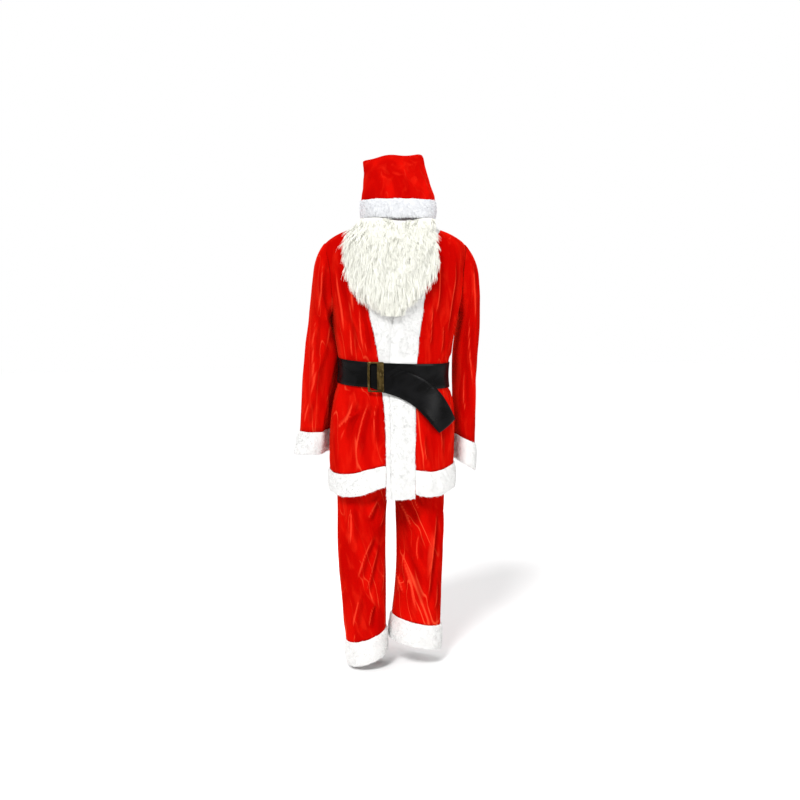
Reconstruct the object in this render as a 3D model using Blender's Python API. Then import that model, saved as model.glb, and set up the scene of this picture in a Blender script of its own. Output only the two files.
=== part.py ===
"""Red velvet suit with white plush trims, a hat, a beard and a black belt, worn form with no wearer.

Metres, +Z up, the front faces -Y. The origin is at the base of the neck, between the shoulders.
Angles run round the suit from the front centre, 0, through +X, 90, to the back, 180.
"""
from collections import namedtuple
from math import atan, cos, degrees, exp, pi, radians, sin

import bmesh
import bpy
from mathutils import Vector

# Driving dimensions
seam_gap = 0.0003
velvet_wall = 0.0015
plush_wall = 0.007
pressed_plush = 0.003
belt_wall = 0.003
belt_width = 0.080
belt_end_droop = 0.024
torso_squareness = 2.3
armhole_top = -0.055
armhole_low = -0.262
armhole_spread = {1: 26.0, -1: 25.0}
neck_seam_z = -0.004
collar_top_z = 0.018
trim_clear = 0.0007
gather_depth = 0.0065
gather_count = 40
gather_clear = 0.014
crotch_z = -0.740
waistband_top = -0.444
waistband_low = -0.475
waistband_wall = 0.0030
waistband_inset = 0.0044
trouser_top_gap = 0.0008
legs_centre = -0.015
trouser_cuff_height = 0.078
hat_band_low = 0.024
hat_seam_z = 0.083

TorsoRow = namedtuple("TorsoRow", "z centre half_width front back")
torso_rows = [
    TorsoRow(-0.900, -0.013, 0.203, 0.152, 0.147),
    TorsoRow(-0.800, -0.013, 0.200, 0.148, 0.143),
    TorsoRow(-0.700, -0.013, 0.197, 0.141, 0.136),
    TorsoRow(-0.600, -0.012, 0.193, 0.132, 0.127),
    TorsoRow(-0.520, -0.010, 0.180, 0.122, 0.115),
    TorsoRow(-0.465, -0.008, 0.172, 0.118, 0.109),
    TorsoRow(-0.400, -0.005, 0.179, 0.121, 0.111),
    TorsoRow(-0.330, -0.004, 0.190, 0.124, 0.114),
    TorsoRow(-0.270, -0.004, 0.201, 0.124, 0.118),
    TorsoRow(-0.200, -0.004, 0.216, 0.121, 0.121),
    TorsoRow(-0.131, -0.004, 0.227, 0.114, 0.118),
    TorsoRow(-0.080, -0.002, 0.229, 0.104, 0.109),
    TorsoRow(-0.055, 0.000, 0.223, 0.095, 0.100),
    TorsoRow(-0.036, 0.000, 0.200, 0.085, 0.091),
    TorsoRow(-0.018, 0.000, 0.165, 0.072, 0.079),
    TorsoRow(-0.004, 0.000, 0.124, 0.060, 0.068),
    TorsoRow(0.008, 0.000, 0.098, 0.052, 0.059),
    TorsoRow(0.020, 0.000, 0.087, 0.047, 0.054),
    TorsoRow(0.032, 0.000, 0.083, 0.045, 0.052),
]

HemRow = namedtuple("HemRow", "angle seam_z low_z")
hem_rows = [
    HemRow(-200, -0.760, -0.828),
    HemRow(-150, -0.762, -0.830),
    HemRow(-90, -0.770, -0.830),
    HemRow(-55, -0.774, -0.844),
    HemRow(-32, -0.758, -0.832),
    HemRow(-16, -0.742, -0.808),
    HemRow(0, -0.748, -0.822),
    HemRow(13, -0.758, -0.836),
    HemRow(28, -0.769, -0.848),
    HemRow(52, -0.758, -0.836),
    HemRow(90, -0.750, -0.822),
    HemRow(150, -0.758, -0.826),
    HemRow(200, -0.762, -0.830),
]

EdgeRow = namedtuple("EdgeRow", "z left_seam left_edge right_seam right_edge")
edge_rows = [
    EdgeRow(-0.848, 0.031, -0.044, -0.060, -0.015),
    EdgeRow(-0.755, 0.031, -0.046, -0.060, -0.017),
    EdgeRow(-0.600, 0.036, -0.044, -0.060, -0.015),
    EdgeRow(-0.466, 0.040, -0.044, -0.071, -0.015),
    EdgeRow(-0.360, 0.047, -0.043, -0.087, -0.014),
    EdgeRow(-0.256, 0.062, -0.030, -0.109, -0.012),
    EdgeRow(-0.200, 0.068, -0.018, -0.119, -0.034),
    EdgeRow(-0.150, 0.074, -0.006, -0.125, -0.046),
    EdgeRow(-0.080, 0.090, 0.020, -0.128, -0.056),
    EdgeRow(-0.036, 0.104, 0.044, -0.125, -0.062),
]

NeckRow = namedtuple("NeckRow", "angle seam_z edge_angle edge_z")
neck_rows = [
    NeckRow(62, -0.012, 58, 0.008),
    NeckRow(90, neck_seam_z, 88, collar_top_z),
    NeckRow(120, neck_seam_z, 120, collar_top_z),
    NeckRow(150, neck_seam_z, 150, collar_top_z),
    NeckRow(179.92, neck_seam_z, 179.92, collar_top_z),
]

Fold = namedtuple("Fold", "top_angle top low_angle low width height")
jacket_folds = [
    Fold(-72, -0.10, -55, -0.40, 5, 0.006),
    Fold(-58, -0.07, -45, -0.38, 4, 0.005),
    Fold(-46, -0.16, -36, -0.41, 4, 0.005),
    Fold(50, -0.06, 40, -0.36, 6, 0.006),
    Fold(68, -0.10, 58, -0.40, 5, 0.006),
    Fold(34, -0.20, 30, -0.41, 4, 0.005),
    Fold(-70, -0.52, -86, -0.66, 6, 0.007),
    Fold(-50, -0.52, -62, -0.70, 5, 0.006),
    Fold(-34, -0.52, -42, -0.68, 5, 0.006),
    Fold(40, -0.53, 48, -0.74, 7, 0.008),
    Fold(74, -0.52, 78, -0.74, 7, 0.008),
    Fold(118, -0.09, 128, -0.42, 7, 0.007),
    Fold(150, -0.12, 156, -0.42, 6, 0.006),
    Fold(-118, -0.09, -130, -0.42, 7, 0.007),
    Fold(-152, -0.14, -158, -0.42, 6, 0.006),
    Fold(122, -0.51, 116, -0.74, 8, 0.009),
    Fold(160, -0.51, 164, -0.75, 8, 0.009),
    Fold(-124, -0.51, -116, -0.74, 8, 0.009),
    Fold(-162, -0.51, -166, -0.75, 8, 0.009),
]


def fade(start, end, value):
    """Rise smoothly from 0 at start to 1 at end."""
    part = min(max((value - start) / (end - start), 0.0), 1.0)
    return part * part * (3 - 2 * part)


def smooth_row(rows, key):
    """Read a table at any key, with a smooth curve through its rows."""
    last = len(rows) - 2
    index = 0
    while index < last and key > rows[index + 1][0]:
        index += 1
    before = rows[max(index - 1, 0)]
    start = rows[index]
    end = rows[index + 1]
    after = rows[min(index + 2, last + 1)]
    span = end[0] - start[0]
    part = (key - start[0]) / span
    values = []
    for column in range(len(start)):
        slope_start = (end[column] - before[column]) / (end[0] - before[0]) * span
        slope_end = (after[column] - start[column]) / (after[0] - start[0]) * span
        step = end[column] - start[column]
        bend = slope_start + slope_end - 2 * step
        hold = 3 * step - 2 * slope_start - slope_end
        values.append(start[column] + part * (slope_start + part * (hold + part * bend)))
    return type(start)(*values)


def fold_height(folds, angle, along):
    """Height of the folds at a place given by its angle in degrees and its place along the cloth."""
    total = 0.0
    for fold in folds:
        part = (along - fold.low) / (fold.top - fold.low)
        if part <= 0 or part >= 1:
            continue
        middle = fold.low_angle + (fold.top_angle - fold.low_angle) * part
        across = ((angle - middle + 180) % 360 - 180) / fold.width
        ends = fade(0, 0.3, part) * fade(0, 0.3, 1 - part)
        total += fold.height * ends * exp(-across * across)
    return total


def belt_middle(angle):
    """Height of the belt's middle line at an angle in degrees."""
    turn = radians(angle)
    return -0.460 - 0.006 * cos(turn) - 0.008 * sin(turn)


def gather_height(angle, z):
    """Gathers that the belt presses into the velvet, above and below it."""
    away = abs(z - belt_middle(angle)) - belt_width / 2 - gather_clear
    if away <= 0:
        return 0.0
    clear_of_trims = fade(26, 40, abs((angle + 180) % 360 - 180 + 4))
    wave = 0.5 + 0.5 * cos(radians(angle) * gather_count / 2 + 1.3 * sin(radians(3 * angle)))
    return gather_depth * wave * clear_of_trims * fade(0, 0.025, away) * exp(-away / 0.07)


def torso(angle, z, folded=True):
    """A point of the jacket's inner face; the neck is this surface carried up."""
    row = smooth_row(torso_rows, z)
    degrees_round = angle * 180 / pi
    swell = 0.0
    if folded:
        swell = fold_height(jacket_folds, degrees_round, z) + gather_height(degrees_round, z)
    across = sin(angle)
    ahead = cos(angle)
    power = torso_squareness
    reach = (abs(across) ** power + abs(ahead) ** power) ** (-1 / power)
    depth = row.front if ahead > 0 else row.back
    x = row.centre + (row.half_width + swell) * reach * across
    y = -(depth + swell) * reach * ahead
    return Vector((x, y, z))


def plain_torso(angle, z):
    return torso(angle, z, folded=False)


def torso_angle(x, z):
    """The angle at which the front of the torso is x to the side."""
    row = smooth_row(torso_rows, z)
    part = max(-0.985, min((x - row.centre) / row.half_width, 0.985))
    power = torso_squareness
    slope = (abs(part) ** power / (1 - abs(part) ** power)) ** (1 / power)
    return atan(slope) if part > 0 else -atan(slope)


def lifted(surface, first, second, lift):
    """A point of a surface, moved out along the surface's normal."""
    point = surface(first, second)
    if lift == 0:
        return point
    step = 0.002
    along_first = surface(first + step, second) - surface(first - step, second)
    along_second = surface(first, second + step) - surface(first, second - step)
    return point + along_first.cross(along_second).normalized() * lift


def material(name, colour, roughness, metallic=0.0, sheen=0.0):
    made = bpy.data.materials.new(name)
    made.use_nodes = True
    shader = made.node_tree.nodes["Principled BSDF"]
    shader.inputs["Base Color"].default_value = (*colour, 1.0)
    shader.inputs["Roughness"].default_value = roughness
    shader.inputs["Metallic"].default_value = metallic
    shader.inputs["Sheen Weight"].default_value = sheen
    return made


def add_object(name, mesh_data, finish):
    """Put a bmesh in the scene as one named part of the suit."""
    mesh = bpy.data.meshes.new(name)
    mesh_data.to_mesh(mesh)
    mesh_data.free()
    mesh.materials.append(finish)
    mesh.shade_smooth()
    mesh.set_sharp_from_angle(angle=radians(40))
    made = bpy.data.objects.new(name, mesh)
    made.parent = suit_frame
    bpy.context.scene.collection.objects.link(made)
    return made


def wall(name, place, across, along, finish, ring=False):
    """A cloth wall: place(u, v, side) gives its inner points at side 0 and its outer ones at side 1."""
    shell = bmesh.new()
    faces_of = []
    for side in (0, 1):
        rows = []
        for v in along:
            rows.append([shell.verts.new(place(u, v, side)) for u in across])
        faces_of.append(rows)
    inner, outer = faces_of
    columns = len(across)
    last = columns if ring else columns - 1
    for row in range(len(along) - 1):
        for column in range(last):
            beside = (column + 1) % columns
            shell.faces.new((outer[row][column], outer[row][beside],
                             outer[row + 1][beside], outer[row + 1][column]))
            shell.faces.new((inner[row][column], inner[row + 1][column],
                             inner[row + 1][beside], inner[row][beside]))
        if not ring:
            shell.faces.new((inner[row][0], outer[row][0], outer[row + 1][0], inner[row + 1][0]))
            shell.faces.new((outer[row][-1], inner[row][-1], inner[row + 1][-1], outer[row + 1][-1]))
    for column in range(last):
        beside = (column + 1) % columns
        shell.faces.new((inner[0][column], inner[0][beside], outer[0][beside], outer[0][column]))
        shell.faces.new((outer[-1][column], outer[-1][beside], inner[-1][beside], inner[-1][column]))
    return add_object(name, shell, finish)


def spread(count, start=0.0, end=1.0):
    """Evenly spaced values, both ends included."""
    return [start + (end - start) * index / (count - 1) for index in range(count)]


def rounded(part):
    """Thickness of a plush band across its width, full in the middle and less at its edges."""
    return 0.55 + 0.45 * fade(0, 0.25, part) * fade(0, 0.25, 1 - part)


for old in list(bpy.data.objects):
    bpy.data.objects.remove(old, do_unlink=True)

velvet = material("red_velvet", (0.60, 0.004, 0.006), 0.62, sheen=0.5)
plush = material("white_plush", (0.86, 0.86, 0.85), 0.95, sheen=0.3)
beard_plush = material("cream_plush", (0.84, 0.85, 0.78), 0.95, sheen=0.3)
belt_vinyl = material("black_vinyl", (0.012, 0.012, 0.012), 0.28)
bronze = material("bronze_metal", (0.20, 0.14, 0.04), 0.42, metallic=1.0)

suit_frame = bpy.data.objects.new("suit_frame", None)
bpy.context.scene.collection.objects.link(suit_frame)


def armhole(side, turn):
    """Angle and height of the armhole's edge; turn runs from the shoulder, 0, to the armpit, pi."""
    middle = (armhole_top + armhole_low) / 2
    half = (armhole_top - armhole_low) / 2
    return side * 90 - armhole_spread[side] * sin(turn), middle + half * cos(turn)


Station = namedtuple("Station", "place seam_angle seam_z free_angle free_z")


def make_stations(side):
    """The front trim's two edges, from the hem up the front and round the neck to the back."""
    stations = []
    for row in edge_rows:
        seam_x = row.left_seam if side > 0 else row.right_seam
        free_x = row.left_edge if side > 0 else row.right_edge
        seam_angle = degrees(torso_angle(seam_x, row.z))
        free_angle = degrees(torso_angle(free_x, row.z))
        stations.append(Station(len(stations), seam_angle, row.z, free_angle, row.z))
    for row in neck_rows:
        stations.append(Station(len(stations), side * row.angle, row.seam_z,
                                side * row.edge_angle, row.edge_z))
    return stations


stations_of = {1: make_stations(1), -1: make_stations(-1)}
neck_station = len(edge_rows) + 1


def station_at(z):
    """The station of the front edge at a height below the neck."""
    index = 0
    while index < len(edge_rows) - 2 and z > edge_rows[index + 1].z:
        index += 1
    low = edge_rows[index].z
    return index + (z - low) / (edge_rows[index + 1].z - low)


def trim_row(side, place):
    """A place along the front trim: smooth in angle, and even in height between two stations."""
    stations = stations_of[side]
    index = min(int(place), len(stations) - 2)
    part = place - index
    low = stations[index]
    high = stations[index + 1]
    row = smooth_row(stations, place)
    return row._replace(seam_z=low.seam_z + (high.seam_z - low.seam_z) * part,
                        free_z=low.free_z + (high.free_z - low.free_z) * part)


def hem_row(angle):
    return smooth_row(hem_rows, (angle + 180) % 360 - 180)


def patch(bottom, top, left, right, u, v):
    """Blend four edges, each giving an angle and a height, into one panel."""
    found = []
    for part in (0, 1):
        rise = (1 - v) * bottom(u)[part] + v * top(u)[part]
        cross = (1 - u) * left(v)[part] + u * right(v)[part]
        flat = (1 - v) * ((1 - u) * bottom(0)[part] + u * bottom(1)[part])
        flat += v * ((1 - u) * top(0)[part] + u * top(1)[part])
        found.append(rise + cross - flat)
    return found


def side_seam(side, v, facing):
    """The side seam up to the armpit, then the armhole; facing is 1 on a front and -1 on the back."""
    if v <= armpit_v:
        part = v / armpit_v
        low = hem_row(side * 90).seam_z + seam_gap
        return side * (90 - facing * gap_degrees), low * (1 - part) + armhole_low * part
    turn = pi * (1 - (v - armpit_v) / (1 - armpit_v))
    reach = armhole_spread[side] * sin(turn)
    return side * (90 - facing * (gap_degrees + reach)), armhole(side, turn)[1]


def front_station(side, v):
    """The trim's station beside a panel row, so that the two share their places along the seam."""
    start_z = hem_row(stations_of[side][1].seam_angle + side * gap_degrees).seam_z + seam_gap
    turn_station = station_at(armhole_low)
    if v <= armpit_v:
        return station_at(start_z + (armhole_low - start_z) * v / armpit_v)
    return turn_station + (neck_station - turn_station) * (v - armpit_v) / (1 - armpit_v)


def front_edge(side, v):
    """The velvet's edge at the front trim, up to the neck end of the shoulder seam."""
    row = trim_row(side, front_station(side, v))
    angle = min(abs(row.seam_angle) + gap_degrees, 90 - gap_degrees)
    return side * angle, row.seam_z


def make_front(side, name):
    outer = side * (90 - gap_degrees)

    def bottom(u):
        angle = front_edge(side, 0)[0] * (1 - u) + outer * u
        return angle, hem_row(angle).seam_z + seam_gap

    def top(u):
        return outer, neck_seam_z * (1 - u) + armhole_top * u

    def place(u, v, face):
        part = u if side > 0 else 1 - u
        angle, z = patch(bottom, top, lambda at: front_edge(side, at),
                         lambda at: side_seam(side, at, 1), part, v)
        return lifted(torso, radians(angle), z, face * velvet_wall)

    return wall(name, place, spread(front_columns), panel_rows, velvet)


def make_back():
    def bottom(u):
        angle = 90 + gap_degrees + (180 - 2 * gap_degrees) * u
        return angle, hem_row(angle).seam_z + seam_gap

    def top(u):
        if u < back_shoulder:
            return 90 + gap_degrees, armhole_top + (neck_seam_z - armhole_top) * u / back_shoulder
        if u > 1 - back_shoulder:
            return 270 - gap_degrees, armhole_top + (neck_seam_z - armhole_top) * (1 - u) / back_shoulder
        part = (u - back_shoulder) / (1 - 2 * back_shoulder)
        return 90 + gap_degrees + (180 - 2 * gap_degrees) * part, neck_seam_z

    def right(v):
        angle, z = side_seam(-1, v, -1)
        return angle + 360, z

    def place(u, v, face):
        angle, z = patch(bottom, top, lambda at: side_seam(1, at, -1), right, u, v)
        return lifted(torso, radians(angle), z, face * velvet_wall)

    return wall("jacket_back", place, spread(back_columns), panel_rows, velvet)


def trim_wall(z, angle):
    """Thickness of a front trim, which the belt presses."""
    above = z - belt_middle(angle) - belt_width / 2
    below = belt_middle(angle) - belt_width / 2 - belt_end_droop - z
    away = max(above, below)
    return pressed_plush + (plush_wall - pressed_plush) * fade(0.003, 0.016, away)


def make_front_trim(side, name, columns):
    def place(u, station, face):
        row = trim_row(side, station)
        seam_z = row.seam_z + seam_gap * fade(neck_station - 2, neck_station - 1, station)
        part = u if side > 0 else 1 - u
        angle = row.free_angle * (1 - part) + row.seam_angle * part
        z = row.free_z * (1 - part) + seam_z * part
        thick = trim_wall(z, angle)
        low = 0.0
        if side > 0:
            over = fade(overlap_out, overlap_full, part) * fade(-0.175, -0.215, z)
            low = over * (thick + trim_clear)
        return lifted(plain_torso, radians(angle), z, low + face * thick * rounded(part))

    front = [front_station(side, v) for v in panel_rows]
    return wall(name, place, columns, trim_foot + front + trim_neck, plush)


def make_hem_band():
    side = 90 - gap_degrees
    columns = spread(front_columns, front_edge(1, 0)[0], side)
    columns += spread(back_columns, 180 - side, 180 + side)[1:]
    columns += spread(front_columns, 360 - side, 360 + front_edge(-1, 0)[0])[1:]

    def place(angle, v, face):
        row = hem_row(angle)
        z = row.low_z + (row.seam_z - row.low_z) * v
        return lifted(torso, radians(angle), z, face * plush_wall * rounded(v))

    return wall("hem_band", place, columns, [0, 0.15, 0.5, 0.85, 1.0], plush)


gap_degrees = 0.12
armpit_v = 0.66
front_columns = 10
back_columns = 19
back_shoulder = 4 / (back_columns - 1)
panel_rows = [0.0, 0.09, 0.18, 0.255, 0.284, 0.301, 0.335, 0.365, 0.395, 0.42, 0.442, 0.471, 0.53,
              0.59, armpit_v, 0.70, 0.74, 0.78, 0.82, 0.86, 0.90, 0.94, 0.975, 1.0]
overlap_full = 0.40
overlap_out = 0.62
trim_foot = [0, 0.12, 0.5]
trim_neck = [neck_station + part for part in (0.6, 1.2, 1.8, 2.4, 3.0)]

make_back()
make_front(1, "jacket_front_left")
make_front(-1, "jacket_front_right")
make_front_trim(1, "front_trim_left", [0, 0.12, 0.27, overlap_full, overlap_out, 0.82, 1])
make_front_trim(-1, "front_trim_right", [0, 0.2, 0.45, 0.7, 0.88, 1])
make_hem_band()

SleeveRow = namedtuple("SleeveRow", "place outer_x outer_z inner_x inner_z centre_y half_depth")
sleeve_rows = {
    1: [
        SleeveRow(0.0, 0.223, -0.055, 0.203, -0.262, 0.000, 0.054),
        SleeveRow(0.5, 0.240, -0.066, 0.209, -0.266, 0.000, 0.054),
        SleeveRow(1.0, 0.256, -0.090, 0.213, -0.275, 0.002, 0.058),
        SleeveRow(2.0, 0.270, -0.150, 0.213, -0.302, 0.006, 0.072),
        SleeveRow(3.0, 0.273, -0.235, 0.204, -0.345, 0.012, 0.076),
        SleeveRow(4.0, 0.273, -0.330, 0.197, -0.400, 0.020, 0.075),
        SleeveRow(5.0, 0.272, -0.430, 0.197, -0.470, 0.026, 0.071),
        SleeveRow(6.0, 0.270, -0.540, 0.199, -0.560, 0.030, 0.068),
        SleeveRow(7.0, 0.268, -0.700, 0.200, -0.668, 0.032, 0.066),
        SleeveRow(8.0, 0.266, -0.790, 0.202, -0.748, 0.032, 0.066),
    ],
    -1: [
        SleeveRow(0.0, 0.223, -0.055, 0.203, -0.262, 0.000, 0.052),
        SleeveRow(0.5, 0.240, -0.066, 0.216, -0.266, 0.000, 0.053),
        SleeveRow(1.0, 0.253, -0.090, 0.221, -0.275, 0.002, 0.056),
        SleeveRow(2.0, 0.262, -0.150, 0.221, -0.302, 0.007, 0.068),
        SleeveRow(3.0, 0.264, -0.235, 0.206, -0.345, 0.042, 0.074),
        SleeveRow(4.0, 0.270, -0.330, 0.180, -0.400, 0.070, 0.073),
        SleeveRow(5.0, 0.280, -0.430, 0.168, -0.460, 0.080, 0.068),
        SleeveRow(6.0, 0.290, -0.540, 0.172, -0.545, 0.086, 0.064),
        SleeveRow(7.0, 0.298, -0.655, 0.180, -0.650, 0.089, 0.062),
        SleeveRow(8.0, 0.314, -0.728, 0.182, -0.722, 0.090, 0.062),
    ],
}
sleeve_clear = 0.0195
sleeve_seam_gap = 0.0012
cuff_start = 7.0
cuff_end = 8.0
sleeve_places = [0, 0.25, 0.5, 1.0, 1.5, 2.0, 2.6, 3.2, 4.0, 4.8, 5.6, 6.3, cuff_start]
cuff_gap = seam_gap / 0.075

sleeve_folds = {
    1: [Fold(-8, 1.2, -20, 6.4, 14, 0.005), Fold(34, 0.9, 44, 5.2, 12, 0.005),
        Fold(80, 2.0, 70, 6.6, 14, 0.006), Fold(-70, 1.5, -84, 6.4, 16, 0.005),
        Fold(150, 4.6, 140, 7.6, 16, 0.004)],
    -1: [Fold(-30, 1.0, -44, 5.6, 14, 0.005), Fold(6, 2.2, 14, 6.8, 14, 0.005),
         Fold(-84, 1.6, -70, 6.2, 14, 0.006), Fold(64, 1.5, 80, 6.4, 16, 0.005),
         Fold(-130, 4.4, -120, 7.8, 18, 0.004)],
}


def keep_clear(point, clearance):
    """Move a sleeve's point out of the jacket's body."""
    row = smooth_row(torso_rows, point.z)
    wide = row.half_width + clearance
    deep = (row.front if point.y < 0 else row.back) + clearance
    off = point.x - row.centre
    power = torso_squareness
    level = ((abs(off) / wide) ** power + (abs(point.y) / deep) ** power) ** (1 / power)
    if level < 1:
        return Vector((row.centre + off / level, point.y / level, point.z))
    return point


def make_sleeve(side, sleeve_name, cuff_name):
    def sleeve(turn, along):
        row = smooth_row(sleeve_rows[side], along)
        outer = Vector((side * row.outer_x, row.centre_y, row.outer_z))
        inner = Vector((side * row.inner_x, row.centre_y, row.inner_z))
        deep = Vector((0, -side * row.half_depth, 0))
        point = (outer + inner) / 2 + (outer - inner) / 2 * cos(turn) + deep * sin(turn)
        swell = fold_height(sleeve_folds[side], degrees(turn), along)
        point += ((outer - inner).normalized() * cos(turn) + deep.normalized() * sin(turn)) * swell
        start = fade(0, 1.6, along)
        if start < 1:
            round_hole = abs(turn) % (2 * pi)
            angle, z = armhole(side, round_hole)
            hole = lifted(torso, radians(angle), z, velvet_wall + sleeve_seam_gap)
            point = hole * (1 - start) + point * start
        clearance = sleeve_clear * fade(0.2, 1.8, along) + plush_wall * fade(5.5, cuff_start, along)
        return keep_clear(point, clearance)

    def cloth(turn, along, face):
        return lifted(sleeve, turn, along, face * velvet_wall * (0.6 + 0.4 * fade(0, 0.5, along)))

    def band(turn, along, face):
        part = (along - cuff_start) / (cuff_end - cuff_start)
        return lifted(sleeve, turn, along, face * plush_wall * rounded(part))

    half_round = [pi * (1 - (v - armpit_v) / (1 - armpit_v)) for v in panel_rows if v > armpit_v][::-1]
    around = half_round + [pi] + [2 * pi - turn for turn in half_round[:0:-1]]
    wall(sleeve_name, cloth, around, sleeve_places, velvet, ring=True)
    length = cuff_end - cuff_start - cuff_gap
    bands = [cuff_start + cuff_gap + length * part for part in (0, 0.15, 0.5, 0.85, 1)]
    wall(cuff_name, band, around, bands, plush, ring=True)


make_sleeve(1, "sleeve_left", "cuff_left")
make_sleeve(-1, "sleeve_right", "cuff_right")

BeltRow = namedtuple("BeltRow", "x z lean lift")
tail_rows = [
    BeltRow(-0.062, -0.474, 9, 0.0106),
    BeltRow(-0.014, -0.488, 17, 0.0160),
    BeltRow(0.030, -0.508, 26, 0.0125),
    BeltRow(0.064, -0.530, 38, 0.0095),
    BeltRow(0.088, -0.556, 52, 0.0135),
    BeltRow(0.112, -0.590, 60, 0.0165),
    BeltRow(0.136, -0.628, 62, 0.0185),
]
belt_steps = 60
belt_clear = 0.0009
BeltPlace = namedtuple("BeltPlace", "place angle z lean lift")
buckle_half_width = 0.0225
buckle_half_height = 0.048
buckle_thin_bar = 0.006
buckle_thick_bar = 0.019
buckle_rail = 0.0045
buckle_thickness = 0.004
buckle_drop = 0.006
buckle_x = -0.085
buckle_angle = -30
buckle_lift = 0.0151


def belt_lift(angle):
    """How far the belt's inner face stands off the torso: more over the front trims."""
    over_trims = fade(-36, -29, angle) * fade(21, 14, angle)
    over_velvet = velvet_wall + belt_clear
    return over_velvet + (2 * pressed_plush + seam_gap + belt_clear - over_velvet) * over_trims


def make_belt_places():
    """The belt's middle line: under its own end, round the waist, over itself and down."""
    start = degrees(torso_angle(buckle_x + 0.006, -0.465))
    end = 360 + start - 5
    count = belt_steps
    places = []
    for index in range(count):
        angle = start + (end - start) * index / (count - 1)
        near = (angle + 180) % 360 - 180
        raised = (belt_wall + seam_gap) * fade(end - 40, end - 8, angle)
        places.append(BeltPlace(len(places), angle, belt_middle(angle), 0.0, belt_lift(near) + raised))
    for row in tail_rows:
        angle = 360 + degrees(torso_angle(row.x, row.z))
        places.append(BeltPlace(len(places), angle, row.z, row.lean, row.lift))
    return places


def belt_point(places, along, up, lift):
    """A point of the belt, up across its width and lift off its inner face."""
    row = smooth_row(places, along)
    turn = radians(row.lean)
    half = belt_width / 2 * up
    spot = plain_torso(radians(row.angle), row.z)
    radius = Vector((spot.x, spot.y)).length
    angle = radians(row.angle) + half * sin(turn) / radius
    z = row.z + half * cos(turn)
    return lifted(plain_torso, angle, z, row.lift + lift)


def make_belt():
    places = make_belt_places()
    last = places[-1].place

    def place(along, up, face):
        return belt_point(places, along, up, face * belt_wall)

    strap = [float(index) for index in range(last - len(tail_rows) + 1)]
    tail = [last - len(tail_rows) + 0.5 * index for index in range(2, 2 * len(tail_rows) + 1)]
    wall("belt_strap", place, strap + tail, [-1, 0, 1], belt_vinyl)

    def frame(turn, ring, face):
        across = cos(turn)
        up = sin(turn)
        bar = buckle_thick_bar if across > 0 else buckle_thin_bar
        wide = buckle_half_width - bar * ring
        high = buckle_half_height - buckle_rail * ring
        square = max(abs(across), abs(up))
        x = buckle_x + wide * across / square
        z = belt_middle(buckle_angle) - buckle_drop + high * up / square
        lift = buckle_lift + face * buckle_thickness
        return lifted(plain_torso, torso_angle(x, z), z, lift)

    corners = [pi * index / 4 for index in range(8)]
    wall("belt_buckle", frame, corners, [0, 1], bronze, ring=True)


make_belt()

LegRow = namedtuple("LegRow", "z outer inner half_depth")
leg_rows = {
    1: [
        LegRow(-1.400, 0.160, -0.004, 0.084),
        LegRow(-1.330, 0.162, -0.004, 0.083),
        LegRow(-1.260, 0.163, 0.003, 0.083),
        LegRow(-1.170, 0.166, 0.015, 0.084),
        LegRow(-1.060, 0.169, 0.021, 0.086),
        LegRow(-0.940, 0.172, 0.021, 0.090),
        LegRow(-0.840, 0.173, 0.014, 0.098),
        LegRow(-0.740, 0.174, 0.001, 0.108),
        LegRow(-0.640, 0.174, 0.000, 0.112),
        LegRow(-0.440, 0.170, 0.000, 0.112),
    ],
    -1: [
        LegRow(-1.430, 0.142, 0.016, 0.080),
        LegRow(-1.330, 0.149, 0.021, 0.080),
        LegRow(-1.260, 0.156, 0.021, 0.082),
        LegRow(-1.170, 0.165, 0.021, 0.084),
        LegRow(-1.060, 0.172, 0.021, 0.087),
        LegRow(-0.940, 0.175, 0.021, 0.090),
        LegRow(-0.840, 0.175, 0.014, 0.098),
        LegRow(-0.740, 0.175, 0.001, 0.108),
        LegRow(-0.640, 0.175, 0.000, 0.112),
        LegRow(-0.440, 0.170, 0.000, 0.112),
    ],
}
leg_seam_z = {1: -1.272, -1: -1.310}
leg_seam_lean = {1: 0.020, -1: 0.022}
leg_folds = {
    1: [Fold(-40, -0.86, 8, -1.00, 9, 0.008), Fold(-18, -1.02, 18, -1.25, 12, 0.010),
        Fold(64, -0.88, 34, -1.12, 7, 0.007), Fold(50, -0.98, 26, -1.26, 8, 0.007),
        Fold(-46, -1.12, -16, -1.26, 8, 0.006), Fold(150, -0.86, 120, -1.10, 12, 0.009),
        Fold(200, -0.95, 230, -1.24, 12, 0.009), Fold(160, -1.08, 170, -1.26, 10, 0.007)],
    -1: [Fold(36, -0.84, 10, -0.94, 8, 0.007), Fold(26, -0.93, -8, -1.14, 9, 0.009),
         Fold(44, -0.98, 18, -1.20, 7, 0.007), Fold(-30, -0.86, -24, -1.20, 14, 0.006),
         Fold(36, -1.20, 20, -1.30, 7, 0.006), Fold(-150, -0.86, -120, -1.10, 12, 0.009),
         Fold(-200, -0.95, -230, -1.24, 12, 0.009), Fold(170, -1.08, 180, -1.28, 10, 0.007)],
}
leg_slit = 0.0018
leg_columns = 19
leg_levels = [0.0, 0.08, 0.16, 0.25, 0.34, 0.43, 0.51, 0.59, 0.66, 0.74, 0.82, 0.91, 1.0]


def hip(angle, z):
    """The upper trousers, just inside the jacket at the waist and freer below it."""
    inset = 0.0028 + 0.0100 * fade(-0.48, -0.55, z)
    row = smooth_row(torso_rows, max(z, -0.62))
    across = sin(angle)
    ahead = cos(angle)
    power = torso_squareness
    reach = (abs(across) ** power + abs(ahead) ** power) ** (-1 / power)
    wide = min(row.half_width - inset, 0.178)
    depth = (row.front if ahead > 0 else row.back) - inset
    return Vector((row.centre + wide * reach * across, -depth * reach * ahead, z))


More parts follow.
